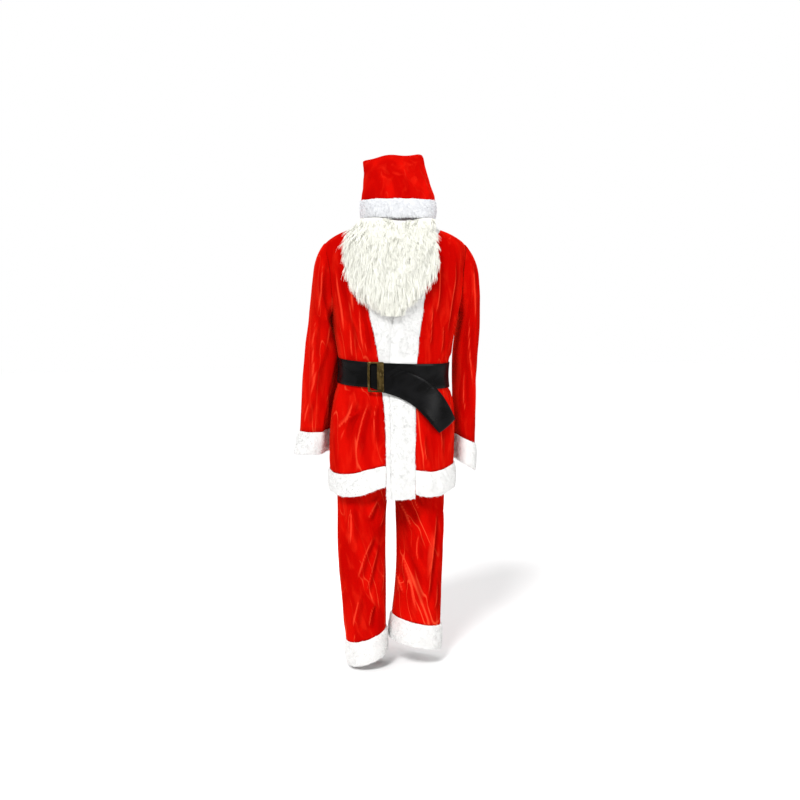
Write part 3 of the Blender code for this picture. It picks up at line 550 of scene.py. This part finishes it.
def creaseHeights(points, out, creases):
    # Each crease runs between two places on the front or the back, with a hollow beside it
    total = np.zeros(len(points))
    napAndPaintedLight = np.zeros(len(points))
    spots = points[:, [0, 2]]
    shape = foldShape
    for face, startX, startZ, endX, endZ, width, height in creases:
        start = np.array((startX, startZ))
        along = np.array((endX, endZ)) - start
        length = np.linalg.norm(along)
        along = along / length
        offset = spots - start
        place = offset @ along / length
        side = offset @ np.array((-along[1], along[0]))
        wander = shape["wander"] * width * np.sin(5.0 * place + 40 * startX)
        spread = shape["widthFrom"] + shape["widthGain"] * np.clip(place, 0, 1)
        across = (side - wander) / (width * spread)
        hollow = np.exp(-(across - shape["hollowAside"]) ** 2)
        ridge = np.exp(-across * across) - shape["hollowDepth"] * hollow
        ends = fadeIn(-0.02, 0.30, place) * fadeIn(1.02, 0.65, place)
        facing = fadeIn(0.05, 0.35, -out[:, 1] * face)
        total += shape["depth"] * height * ridge * ends * facing
        # painted highlight along the ridge and soft painted light beside it, painted shade in the
        # hollow
        line = np.exp(-(across * shape["lineSharpness"] - 1.0) ** 2)
        line = line + shape["glowStrength"] * np.exp(-(across * shape["glowSharpness"] + 0.6) ** 2)
        napAndPaintedLight += (line - shape["hollowShadeAmount"] * hollow) * ends * facing
    return total, napAndPaintedLight


def crumpleHeights(points, size, depth, stretch, seed):
    # Soft irregular dents, longer than they are wide
    found = np.empty(len(points))
    for index, (x, y, z) in enumerate(points):
        spot = Vector((x / size + seed, y / size, z / size * stretch))
        found[index] = noise.noise(spot) + 0.45 * noise.noise(spot * 2.3)
    return depth * found


hangingFolds = {"sharpness": 4.2, "bunchSize": 0.35, "bunchShift": (3, 1, 7), "lineStrength": 0.60}


def streakHeights(points, size, depth, stretch, seed):
    # Narrow sharp ridges that run down the cloth, where it hangs in small folds
    folds = hangingFolds
    bunchShift = Vector(folds["bunchShift"])
    found = np.empty(len(points))
    for index, (x, y, z) in enumerate(points):
        spot = Vector((x / size + seed, y / size, z / size * stretch))
        bunched = 0.5 + 0.9 * noise.noise(spot * folds["bunchSize"] + bunchShift)
        ridge = max(0.0, 1 - folds["sharpness"] * abs(noise.noise(spot)))
        found[index] = ridge * min(max(bunched, 0.0), 1.0)
    # the second value is a painted highlight along the tops of the ridges
    return depth * found, folds["lineStrength"] * found ** 6


def paintFoldLight(piece, napAndPaintedLight):
    # Painted highlight along a fold's ridge and painted shade in the hollow beside it, stored on
    # the piece
    layer = piece.data.attributes.new("napAndPaintedLight", "FLOAT", "POINT")
    layer.data.foreach_set("value", np.clip(napAndPaintedLight, -1.0, 1.0).astype(np.float32))


front = 1
back = -1

torsoAxis = [(-0.90, -0.013, 0.0), (0.03, 0.0, 0.0)]

jacketCloth = {
    "fineness": 3,
    "rimSharpness": 1.0,
    "crumple": {"size": 0.085, "depth": 0.0032, "stretch": 0.45},
    "dents": {"size": 0.030, "depth": 0.0010, "stretch": 0.35},
    "hanging": {"size": 0.034, "depth": 0.0034, "stretch": 0.12},
    "gatherDepth": 0.0042,
    "gathersPerTurn": 46,
    "gatherUp": 0.060,
    "gatherDown": 0.085,
    "gatherStart": (0.003, 0.020),
    # strength of the painted highlight along the gathers
    "gatherHighlight": 0.7,
    "beltTop": -0.418,
    "beltLow": -0.508,
    "beltEdge": 0.012,
    "hemSeam": (-0.772, -0.735),
    "neckSeam": (-0.075, -0.045),
    "besideTrim": 0.022,
    "riseLimits": (-0.005, 0.011),
}
jacketCreases = [
    # face, start x and z, end x and z, width, height
    (front, -0.171, -0.080, -0.150, -0.300, 0.010, 0.006),
    (front, -0.200, -0.120, -0.178, -0.360, 0.009, 0.006),
    (front, -0.150, -0.180, -0.120, -0.400, 0.008, 0.005),
    (front, -0.168, -0.290, -0.150, -0.415, 0.007, 0.005),
    (front, -0.130, -0.290, -0.108, -0.412, 0.006, 0.004),
    (front, 0.120, -0.060, 0.090, -0.330, 0.011, 0.006),
    (front, 0.170, -0.080, 0.140, -0.380, 0.010, 0.006),
    (front, 0.205, -0.140, 0.172, -0.400, 0.009, 0.005),
    (front, 0.092, -0.220, 0.078, -0.400, 0.008, 0.005),
    (front, 0.130, -0.300, 0.120, -0.415, 0.007, 0.004),
    (front, -0.150, -0.520, -0.195, -0.690, 0.009, 0.007),
    (front, -0.105, -0.520, -0.160, -0.740, 0.009, 0.006),
    (front, -0.085, -0.530, -0.100, -0.700, 0.007, 0.005),
    (front, -0.135, -0.560, -0.205, -0.640, 0.008, 0.005),
    (front, 0.060, -0.640, 0.066, -0.750, 0.009, 0.006),
    (front, 0.105, -0.520, 0.115, -0.740, 0.010, 0.006),
    (front, 0.150, -0.515, 0.165, -0.730, 0.009, 0.007),
    (back, -0.160, -0.070, -0.120, -0.380, 0.013, 0.006),
    (back, -0.070, -0.050, -0.060, -0.390, 0.012, 0.005),
    (back, 0.060, -0.050, 0.045, -0.390, 0.012, 0.005),
    (back, 0.160, -0.070, 0.125, -0.380, 0.013, 0.006),
    (back, -0.020, -0.240, 0.012, -0.400, 0.010, 0.005),
    (back, -0.160, -0.520, -0.175, -0.740, 0.012, 0.007),
    (back, -0.095, -0.520, -0.110, -0.730, 0.012, 0.006),
    (back, -0.030, -0.520, -0.036, -0.745, 0.012, 0.007),
    (back, 0.045, -0.520, 0.055, -0.735, 0.012, 0.006),
    (back, 0.110, -0.520, 0.130, -0.740, 0.012, 0.007),
]


def beltGathers(points, sizes):
    # Small pleats that run up and down from the belt
    turn = np.arctan2(points[:, 0] + 0.008, -points[:, 1])
    away = np.maximum(points[:, 2] - sizes["beltTop"], sizes["beltLow"] - points[:, 2])
    count = sizes["gathersPerTurn"] / 2
    drift = 1.7 * np.sin(3 * turn)
    sway = 6.0 * np.sin(1.3 * turn + 7 * points[:, 2])
    wave = 0.5 + 0.5 * np.cos(count * turn + drift + sway)
    bunch = 0.55 + 0.45 * np.sin(5 * turn + 1.0)
    reach = np.where(points[:, 2] > sizes["beltTop"], sizes["gatherUp"], sizes["gatherDown"])
    fade = fadeIn(*sizes["gatherStart"], away)
    return sizes["gatherDepth"] * wave ** 1.6 * bunch * fade * np.exp(-away / reach)


def sewTorsoPiece(nodeName, pieceName, seed):
    sizes = jacketCloth
    piece = smoothCopy(nodeName, pieceName, sizes["fineness"], sizes["rimSharpness"])
    points = readPoints(piece)
    out = awayFromAxis(points, torsoAxis)
    creased, napAndPaintedLight = creaseHeights(points, out, jacketCreases)
    gathered = beltGathers(points, sizes)
    streaks, streakHighlight = streakHeights(points, seed=seed + 9, **sizes["hanging"])
    rise = creased + gathered + streaks
    rise += crumpleHeights(points, seed=seed, **sizes["crumple"])
    rise += crumpleHeights(points, seed=seed + 5, **sizes["dents"])
    # painted highlight along the streak ridges and the gathers, added to the painted fold light
    napAndPaintedLight += streakHighlight + sizes["gatherHighlight"] * (gathered / sizes["gatherDepth"]) ** 2
    # flat at the hem seam, under the belt, beside the front trims and at the neck
    level = points[:, 2]
    keep = fadeIn(*sizes["hemSeam"], level) * (1 - fadeIn(*sizes["neckSeam"], level))
    underBelt = fadeIn(sizes["beltLow"] - sizes["beltEdge"], sizes["beltLow"], level)
    underBelt *= 1 - fadeIn(sizes["beltTop"], sizes["beltTop"] + sizes["beltEdge"], level)
    keep *= 1 - underBelt
    keep *= besideTrims(points)
    points += out * (np.clip(rise, *sizes["riseLimits"]) * keep)[:, None]
    writePoints(piece, points)
    # painted fold highlight and shade
    paintFoldLight(piece, napAndPaintedLight * keep)
    finishPiece(piece, "jacketVelvet", "red_velvet", nodeName)
    return piece


trimEdge = {
    # how far to each side the white strips and the armholes reach, by height
    "height": (-0.85, -0.60, -0.46, -0.36, -0.25, -0.15, -0.08, -0.03),
    "left": (0.031, 0.036, 0.040, 0.047, 0.062, 0.074, 0.090, 0.104),
    "right": (-0.060, -0.060, -0.071, -0.087, -0.109, -0.125, -0.128, -0.125),
}


def besideTrims(points):
    left = np.interp(points[:, 2], trimEdge["height"], trimEdge["left"])
    right = np.interp(points[:, 2], trimEdge["height"], trimEdge["right"])
    clear = np.where(points[:, 0] > 0, points[:, 0] - left, right - points[:, 0])
    beside = fadeIn(0.0, jacketCloth["besideTrim"], clear)
    return np.where(points[:, 1] < 0.0, beside, 1.0)


sewTorsoPiece("jacket_back", "jacketBack", 1.0)
sewTorsoPiece("jacket_front_left", "jacketFrontLeft", 2.0)
sewTorsoPiece("jacket_front_right", "jacketFrontRight", 3.0)
print("jacket body sewn")

sleeveCloth = {
    "hanging": {"size": 0.040, "depth": 0.0024, "stretch": 0.11},
    "crumple": {"size": 0.070, "depth": 0.0032, "stretch": 0.45},
    "cuffFade": (-0.02, 0.03),       # from the cuff's seam
    "headFade": (-0.115, -0.070),
    "bodySideFlat": ((0.1, 0.7), (-0.52, -0.36)),
    "riseLimits": (-0.004, 0.008),
    "sagDepth": 0.020,
    "sagRange": ((0.05, 0.6), (-0.50, -0.40), (-0.25, -0.20)),
    "left": {
        "axis": [(-0.80, 0.234, 0.032), (-0.60, 0.235, 0.031), (-0.40, 0.236, 0.023),
                 (-0.25, 0.238, 0.010), (-0.05, 0.215, 0.0)],
        "seam": -0.660, "flat": (0.46, 0.62), "area": 0.235, "seed": 11.0},
    "right": {
        "axis": [(-0.73, -0.250, 0.090), (-0.54, -0.232, 0.086), (-0.40, -0.226, 0.075),
                 (-0.28, -0.236, 0.040), (-0.05, -0.215, 0.0)],
        "seam": -0.640, "flat": (0.46, 0.62), "area": 0.230, "seed": 12.0},
}
sleeveCreases = [
    (front, -0.232, -0.090, -0.262, -0.300, 0.009, 0.005),
    (front, -0.205, -0.160, -0.235, -0.420, 0.010, 0.006),
    (front, -0.258, -0.260, -0.262, -0.520, 0.009, 0.006),
    (front, -0.225, -0.380, -0.285, -0.560, 0.011, 0.006),
    (front, -0.215, -0.500, -0.225, -0.640, 0.010, 0.006),
    (front, -0.270, -0.540, -0.290, -0.640, 0.009, 0.004),
    (front, 0.245, -0.090, 0.236, -0.330, 0.009, 0.006),
    (front, 0.262, -0.150, 0.262, -0.420, 0.009, 0.005),
    (front, 0.224, -0.260, 0.238, -0.520, 0.009, 0.006),
    (front, 0.256, -0.420, 0.246, -0.640, 0.010, 0.006),
    (front, 0.214, -0.440, 0.222, -0.620, 0.008, 0.004),
    (back, -0.245, -0.100, -0.235, -0.360, 0.011, 0.006),
    (back, -0.205, -0.330, -0.262, -0.470, 0.012, 0.007),
    (back, -0.225, -0.430, -0.240, -0.620, 0.011, 0.006),
    (back, 0.235, -0.100, 0.240, -0.380, 0.011, 0.006),
    (back, 0.214, -0.340, 0.258, -0.440, 0.012, 0.006),
    (back, 0.240, -0.450, 0.232, -0.640, 0.011, 0.006),
]


def tubeFolds(points, out, creases, cloth, seed):
    # What a sleeve and a trouser leg share: creases, hanging folds and crumples, with painted
    # highlight and shade along them
    creased, napAndPaintedLight = creaseHeights(points, out, creases)
    streaks, streakHighlight = streakHeights(points, seed=seed + 4, **cloth["hanging"])
    rise = creased + streaks + crumpleHeights(points, seed=seed, **cloth["crumple"])
    return rise, napAndPaintedLight + streakHighlight


def sewSleeve(side):
    cloth, sizes = sleeveCloth, sleeveCloth[side]
    node = "sleeve_" + side
    piece = smoothCopy(node, "sleeve" + side.capitalize(), 2, 1.0)
    points = readPoints(piece)
    level = points[:, 2]
    out = awayFromAxis(points, sizes["axis"])
    rise, napAndPaintedLight = tubeFolds(points, out, sleeveCreases, cloth, sizes["seed"])
    keep = fadeIn(*(sizes["seam"] + shift for shift in cloth["cuffFade"]), level)
    keep *= 1 - fadeIn(*cloth["headFade"], level)
    bodySide = -np.sign(sizes["axis"][0][1]) * out[:, 0]
    flatSide, flatLevel = cloth["bodySideFlat"]
    keep *= 1 - fadeIn(*flatSide, bodySide) * fadeIn(*flatLevel, level)
    rise = np.clip(rise, *cloth["riseLimits"]) * keep
    # the cloth sags in against the jacket below the armpit
    if side == "right":
        sagSide, sagFoot, sagHead = cloth["sagRange"]
        sag = fadeIn(*sagSide, bodySide) * fadeIn(*sagFoot, level)
        rise += cloth["sagDepth"] * sag * (1 - fadeIn(*sagHead, level))
    points += out * rise[:, None]
    writePoints(piece, points)
    # painted highlight on the fold ridges, painted shade in their hollows
    paintFoldLight(piece, napAndPaintedLight * keep)
    finishPiece(piece, "sleeveVelvet", "red_velvet", node)
    return piece


sewSleeve("left")
sewSleeve("right")
print("sleeves set in")

legCloth = {
    "hanging": {"size": 0.046, "depth": 0.0026, "stretch": 0.14},
    "crumple": {"size": 0.090, "depth": 0.0040, "stretch": 0.42},
    "cuffFade": (-0.014, 0.030),     # from the cuff's seam
    "hipFade": (-0.840, -0.790),
    "riseLimits": (-0.007, 0.012),
    "left": {
        "axis": [(-1.40, 0.063, 0.0), (-1.20, 0.073, 0.0), (-0.85, 0.078, 0.0),
                 (-0.74, 0.072, 0.0), (-0.47, 0.045, 0.0)],
        "seam": -1.262, "flat": (0.56, 0.83), "area": 0.44, "seed": 21.0},
    "right": {
        "axis": [(-1.43, -0.094, 0.0), (-1.20, -0.106, 0.0), (-0.85, -0.110, 0.0),
                 (-0.74, -0.103, 0.0), (-0.47, -0.060, 0.0)],
        "seam": -1.298, "flat": (0.56, 0.86), "area": 0.46, "seed": 22.0},
}
legCreases = [
    # the wearer's right leg
    (front, -0.070, -0.845, -0.124, -0.925, 0.011, 0.009),
    (front, -0.040, -0.870, -0.078, -0.960, 0.009, 0.005),
    (front, -0.085, -0.955, -0.155, -1.130, 0.012, 0.009),
    (front, -0.068, -0.990, -0.127, -1.175, 0.009, 0.007),
    (front, -0.045, -1.030, -0.070, -1.190, 0.009, 0.005),
    (front, -0.085, -1.185, -0.114, -1.280, 0.009, 0.007),
    (front, -0.165, -0.860, -0.160, -1.020, 0.010, 0.005),
    (front, -0.140, -1.160, -0.150, -1.290, 0.009, 0.005),
    (front, -0.050, -1.200, -0.058, -1.290, 0.008, 0.004),
    # the wearer's left leg
    (front, -0.008, -0.850, 0.045, -0.970, 0.011, 0.009),
    (front, 0.030, -0.840, 0.062, -0.900, 0.009, 0.006),
    (front, 0.002, -1.030, 0.060, -1.255, 0.016, 0.010),
    (front, 0.118, -0.880, 0.080, -1.130, 0.010, 0.008),
    (front, 0.108, -0.950, 0.074, -1.240, 0.009, 0.007),
    (front, 0.140, -0.870, 0.134, -1.050, 0.009, 0.005),
    (front, -0.008, -1.100, 0.018, -1.180, 0.008, 0.006),
    (front, 0.055, -0.960, 0.052, -1.080, 0.009, 0.005),
    (front, 0.120, -1.120, 0.105, -1.240, 0.009, 0.005),
    (back, -0.060, -0.840, -0.130, -0.980, 0.014, 0.009),
    (back, -0.140, -0.860, -0.090, -1.030, 0.013, 0.007),
    (back, -0.070, -1.000, -0.130, -1.160, 0.013, 0.008),
    (back, -0.140, -1.120, -0.110, -1.280, 0.012, 0.007),
    (back, 0.020, -0.840, 0.100, -0.980, 0.014, 0.009),
    (back, 0.120, -0.860, 0.070, -1.040, 0.013, 0.007),
    (back, 0.030, -1.000, 0.090, -1.160, 0.013, 0.008),
    (back, 0.110, -1.110, 0.070, -1.240, 0.012, 0.007),
]


def sewLeg(side):
    cloth, sizes = legCloth, legCloth[side]
    node = "trouser_leg_" + side
    piece = smoothCopy(node, "trouserLeg" + side.capitalize(), 3, 1.0)
    points = readPoints(piece)
    out = awayFromAxis(points, sizes["axis"])
    rise, napAndPaintedLight = tubeFolds(points, out, legCreases, cloth, sizes["seed"])
    keep = fadeIn(*(sizes["seam"] + shift for shift in cloth["cuffFade"]), points[:, 2])
    keep *= 1 - fadeIn(*cloth["hipFade"], points[:, 2])
    points += out * (np.clip(rise, *cloth["riseLimits"]) * keep)[:, None]
    writePoints(piece, points)
    # painted highlight on the fold ridges, painted shade in their hollows
    paintFoldLight(piece, napAndPaintedLight * keep)
    finishPiece(piece, "legVelvet", "red_velvet", node)
    return piece


sewLeg("left")
sewLeg("right")
waistbandPiece = smoothCopy("waistband", "waistbandCasing", 1, 0.6)
finishPiece(waistbandPiece, "legVelvet", "red_velvet", "waistband")
print("trousers sewn")

hatCloth = {
    "crumple": {"size": 0.060, "depth": 0.0030, "stretch": 0.8, "seed": 31.0},
    "dents": {"size": 0.024, "depth": 0.0009, "stretch": 0.8, "seed": 35.0},
    "bandSeam": (0.078, 0.100),
    "foldedFrom": 0.045,             # the part folded over at the back stays plain
    "riseLimits": (-0.003, 0.006),
    # how strong the painted fold highlight and shade are on the hat
    "foldLightStrength": 0.5,
    "flat": (0.62, 0.30),
    "area": 0.145,
}
hatAxis = [(0.05, 0.007, 0.0), (0.12, 0.005, 0.005), (0.18, 0.001, 0.024), (0.24, 0.0, 0.05)]
hatCreases = [
    (front, 0.088, 0.150, 0.094, 0.080, 0.006, 0.006),
    (front, 0.070, 0.205, 0.086, 0.120, 0.008, 0.004),
    (front, -0.040, 0.200, -0.070, 0.110, 0.012, 0.004),
    (front, 0.010, 0.200, 0.030, 0.120, 0.012, 0.003),
    (back, -0.050, 0.190, -0.020, 0.090, 0.012, 0.004),
    (back, 0.050, 0.190, 0.030, 0.090, 0.012, 0.004),
]


def sewHat():
    piece = smoothCopy("hat_crown", "hatCrown", 2, 1.0)
    points = readPoints(piece)
    out = awayFromAxis(points, hatAxis)
    rise, napAndPaintedLight = creaseHeights(points, out, hatCreases)
    rise += crumpleHeights(points, **hatCloth["crumple"])
    rise += crumpleHeights(points, **hatCloth["dents"])
    keep = fadeIn(*hatCloth["bandSeam"], points[:, 2])
    keep = np.where(points[:, 1] > hatCloth["foldedFrom"], 0.0, keep)
    points += out * (np.clip(rise, *hatCloth["riseLimits"]) * keep)[:, None]
    writePoints(piece, points)
    # painted fold highlight and shade, weaker on the hat
    paintFoldLight(piece, hatCloth["foldLightStrength"] * napAndPaintedLight * keep)
    finishPiece(piece, "hatVelvet", "red_velvet", "hat_crown")
    return piece


sewHat()
print("hat crown sewn")


# Plush bands and their pile


def scatterRoots(piece, count, seed, wanted):
    # Random places on the faces that wanted keeps, with the surface's direction there
    mesh = piece.data
    mesh.calc_loop_triangles()
    corners = np.zeros(len(mesh.loop_triangles) * 3, np.int32)
    mesh.loop_triangles.foreach_get("vertices", corners)
    corners = corners.reshape(-1, 3)
    points = readPoints(piece)
    a, b, c = points[corners[:, 0]], points[corners[:, 1]], points[corners[:, 2]]
    cross = np.cross(b - a, c - a)
    areas = np.linalg.norm(cross, axis=1)
    facing = cross / np.maximum(areas, 1e-12)[:, None]
    middle = (a + b + c) / 3
    areas = areas * wanted(middle, facing)
    rng = np.random.default_rng(seed)
    chosen = rng.choice(len(areas), size=count, p=areas / areas.sum())
    u = rng.random(count)
    v = rng.random(count)
    flip = u + v > 1
    u[flip] = 1 - u[flip]
    v[flip] = 1 - v[flip]
    roots = a[chosen] + (b - a)[chosen] * u[:, None] + (c - a)[chosen] * v[:, None]
    return roots, facing[chosen], rng


def normalised(vectors):
    return vectors / np.maximum(np.linalg.norm(vectors, axis=1), 1e-9)[:, None]


def weaveRibbons(name, lines, sideways, widths):
    # One thin ribbon for each line of points; the last point is its tip
    count, steps = lines.shape[:2]
    body = steps - 1
    shift = sideways[:, None, :] * widths[None, :, None]
    left = lines[:, :body] - shift[:, :body]
    right = lines[:, :body] + shift[:, :body]
    points = np.concatenate([left, right, lines[:, body:]], axis=1).reshape(-1, 3)
    each = 2 * body + 1
    start = (np.arange(count) * each)[:, None]
    quads = []
    for step in range(body - 1):
        quads.append(start + np.array([[step, body + step, body + step + 1, step + 1]]))
    tips = start + np.array([[body - 1, 2 * body - 1, 2 * body]])
    quadCorners = np.concatenate(quads).reshape(-1) if quads else np.zeros(0, int)
    corners = np.concatenate([quadCorners, tips.reshape(-1)])
    quadCount = len(quadCorners) // 4
    sizes = np.concatenate([np.full(quadCount, 4), np.full(count, 3)])
    starts = np.concatenate([[0], np.cumsum(sizes)[:-1]])
    mesh = bpy.data.meshes.new(name)
    mesh.vertices.add(len(points))
    mesh.vertices.foreach_set("co", points.astype(np.float32).ravel())
    mesh.loops.add(len(corners))
    mesh.loops.foreach_set("vertex_index", corners.astype(np.int32))
    mesh.polygons.add(len(sizes))
    mesh.polygons.foreach_set("loop_start", starts.astype(np.int32))
    mesh.update(calc_edges=True)
    piece = bpy.data.objects.new(name, mesh)
    scene.collection.objects.link(piece)
    return piece


pile = {
    "length": 0.0052,
    "baseWidth": 0.00050,
    "perSquareMetre": 230000,
    "lean": 0.45,
    "tousle": 0.42,
    "curlScale": 45.0,
    "swirlScale": 150.0,
    "noiseSeed": 40,                 # without it noise_vector follows the clock
    "sink": 0.0006,                  # how deep a ribbon's foot stands in the band
    "taper": (1.0, 0.75),
    "lumps": {"size": 0.032, "depth": 0.0016, "stretch": 1.0},
    "tufts": {"size": 0.009, "depth": 0.0009, "stretch": 1.0},
    "beltFoot": (-0.540, -0.520),
    "beltHead": (-0.408, -0.400),
    "beltFront": -0.05,
}
sleeveAxes = {side: sleeveCloth[side]["axis"] for side in ("left", "right")}
legAxes = {side: legCloth[side]["axis"] for side in ("left", "right")}
hatBandAxis = [(0.0, 0.0077, 0.0), (0.1, 0.0077, 0.0)]
plushBands = [
    # node, piece, axis, flat width and length, cut area, finish, seed
    ("hem_band", "hemBand", torsoAxis, (1.02, 0.080), 0.080, "trimPlush", 41),
    ("front_trim_left", "frontTrimLeft", torsoAxis, (1.05, 0.100), 0.085, "trimPlush", 42),
    ("front_trim_right", "frontTrimRight", torsoAxis, (1.05, 0.085), 0.068, "trimPlush", 43),
    ("cuff_left", "cuffLeft", sleeveAxes["left"], (0.38, 0.082), 0.031, "trimPlush", 44),
    ("cuff_right", "cuffRight", sleeveAxes["right"], (0.38, 0.082), 0.031, "trimPlush", 45),
    ("trouser_cuff_left", "trouserCuffLeft", legAxes["left"],
     (0.56, 0.082), 0.045, "trimPlush", 46),
    ("trouser_cuff_right", "trouserCuffRight", legAxes["right"],
     (0.50, 0.082), 0.040, "trimPlush", 47),
    ("hat_band", "hatBand", hatBandAxis, (0.64, 0.062), 0.0396, "hatPlush", 48),
]


def beltPress(points):
    # 0 where the belt, its tail or the buckle lies on the front trims
    level = points[:, 2]
    near = fadeIn(*pile["beltFoot"], level) * (1 - fadeIn(*pile["beltHead"], level))
    return 1 - near * (points[:, 1] < pile["beltFront"])


def brushPile(piece, name, axis, count, seed):
    def wanted(middle, facing):
        out = awayFromAxis(middle, axis)
        return fadeIn(-0.25, 0.35, (facing * out).sum(axis=1)) * beltPress(middle)

    roots, facing, rng = scatterRoots(piece, count, seed, wanted)
    out = awayFromAxis(roots, axis)
    spots = [Vector(root) for root in roots]
    swirlShift = Vector((9, 9, 9))
    curl = np.array([noise.noise_vector(spot * pile["curlScale"]) for spot in spots])
    swirl = np.array([noise.noise_vector(spot * pile["swirlScale"] + swirlShift) for spot in spots])
    lean = normalised(facing * 0.8 + out * 0.3 + curl * pile["tousle"] * 1.6 + swirl * 0.6
                      + np.array([0, 0, -pile["lean"]]))
    length = pile["length"] * (0.6 + 0.5 * rng.random(len(roots)))[:, None]
    bend = normalised(lean + np.array([0, 0, -0.5]) + curl)
    bases = roots - facing * pile["sink"]
    middles = bases + lean * length * 0.55
    tips = bases + lean * length * 0.5 + bend * length * 0.5
    lines = np.stack([bases, middles, tips], axis=1)
    sideways = normalised(np.cross(lean, rng.normal(size=roots.shape)))
    widths = np.array(pile["taper"]) * pile["baseWidth"]
    return weaveRibbons(name, lines, sideways, widths)


def makePlushBand(nodeName, pieceName, axis, flat, area, finish, seed):
    piece = smoothCopy(nodeName, pieceName, 2, 0.35)
    points = readPoints(piece)
    normals = readNormals(piece)
    lumps = crumpleHeights(points, seed=seed, **pile["lumps"])
    lumps += crumpleHeights(points, seed=seed + 3, **pile["tufts"])
    points += normals * (lumps * beltPress(points))[:, None]
    writePoints(piece, points)
    finishPiece(piece, finish, "white_plush", nodeName)
    outerArea = sum(face.area for face in piece.data.polygons) / 2
    count = int(outerArea * pile["perSquareMetre"])
    fuzz = brushPile(piece, pieceName + "Pile", axis, count, seed)
    finishPiece(fuzz, finish, "white_plush")
    return piece


noise.seed_set(pile["noiseSeed"])
for band in plushBands:
    makePlushBand(*band)
print("plush bands brushed")

# The beard's locks hang from its body and draw together at their tips
beardHair = {
    "strands": 17500,
    "locks": 1100,
    "steps": 6,
    "lockLength": 0.036,
    "baseWidth": 0.00060,
    "gather": 0.20,
    "centreX": -0.036,
    "lowest": -0.280,
    "deepest": -0.176,
    "crumple": {"size": 0.020, "depth": 0.0022, "stretch": 0.35, "seed": 61.0},
    "sink": 0.001,                   # how deep a hair's foot stands in the body
    "fray": 0.0022,
    "batch": 2000,
}


def makeBeard():
    sizes = beardHair
    piece = smoothCopy("beard", "beardBody", 2, 0.3)
    points = readPoints(piece)
    normals = readNormals(piece)
    points += normals * crumpleHeights(points, **sizes["crumple"])[:, None]
    writePoints(piece, points)
    finishPiece(piece, "beardPlush", "cream_plush", "beard")

    def wanted(middle, facing):
        forward = fadeIn(-0.2, 0.5, -facing[:, 1])
        under = 0.7 * fadeIn(0.3, 0.8, -facing[:, 2] * (facing[:, 1] < 0.3))
        return forward + under + 0.6 * fadeIn(0.4, 0.9, np.abs(facing[:, 0]))

    rootSpots, rootFacing, rng = scatterRoots(piece, sizes["locks"], 62, wanted)
    steps = sizes["steps"]
    lockLines = []
    for spot, facing in zip(rootSpots, rootFacing):
        aside = (spot[0] - sizes["centreX"]) / 0.13
        length = sizes["lockLength"] * (0.75 + 0.5 * rng.random())
        fall = np.array([0.0, 0.0, -1.0]) + facing * facing[2]
        fall = fall / max(np.linalg.norm(fall), 1e-6)
        heading = facing * 0.42 + fall * 0.95 + np.array([0.10 * aside, -0.06, 0.0])
        drift = np.array([rng.normal() * 0.20 - 0.12 * aside, rng.normal() * 0.08, 0])
        wave = rng.random() * 6.28
        hang = fall * 0.85 + np.array([drift[0], 0.0, -0.30])
        line = [spot - facing * sizes["sink"]]
        for step in range(steps - 1):
            part = step / (steps - 2)
            sway = np.array([0.16 * sin(wave + 4.2 * part), 0.06 * cos(wave + 5.0 * part), 0])
            way = heading * (1 - part) + hang * part + sway + drift * 0.3
            line.append(line[-1] + way / np.linalg.norm(way) * length / (steps - 1))
        lockLines.append(line)
    lockLines = np.array(lockLines)

    roots, facing, rng = scatterRoots(piece, sizes["strands"], 63, wanted)
    nearest = np.empty(len(roots), int)
    batch = sizes["batch"]
    for start in range(0, len(roots), batch):
        some = roots[start:start + batch]
        apart = np.linalg.norm(some[:, None] - lockLines[None, :, 0], axis=2)
        nearest[start:start + batch] = apart.argmin(axis=1)
    offset = roots - lockLines[nearest, 0]
    along = np.linspace(0, 1, steps)
    shrink = 1 - sizes["gather"] * along ** 1.3
    shape = lockLines[nearest] - lockLines[nearest, :1]
    stretch = (0.70 + 0.45 * rng.random(len(roots)))[:, None, None]
    lines = lockLines[nearest, :1] + shape * stretch + offset[:, None] * shrink[None, :, None]
    fray = rng.normal(size=(len(roots), 1, 3)) * sizes["fray"] * along[None, :, None]
    lines += fray - facing[:, None] * sizes["sink"] * (1 - along)[None, :, None]
    lines[:, :, 2] = np.maximum(lines[:, :, 2], sizes["lowest"])
    lines[:, :, 1] = np.maximum(lines[:, :, 1], sizes["deepest"])
    tilted = facing + rng.normal(size=facing.shape) * 0.35
    sideways = normalised(np.cross(lines[:, 3] - lines[:, 0], tilted))
    widths = sizes["baseWidth"] * (1 - 0.6 * along[:-1])
    hair = weaveRibbons("beardHair", lines, sideways, widths)
    finishPiece(hair, "beardPlush", "cream_plush")
    return piece


makeBeard()
print("beard brushed")


def makeBelt():
    piece = smoothCopy("belt_strap", "beltStrap", 2, 0.75)
    finishPiece(piece, "beltVinyl", "black_vinyl", "belt_strap")
    buckle = smoothCopy("belt_buckle", "beltBuckle", 3, 0.85)
    finishPiece(buckle, "buckleBronze", "bronze_metal", "belt_buckle")


makeBelt()
print("belt buckled")
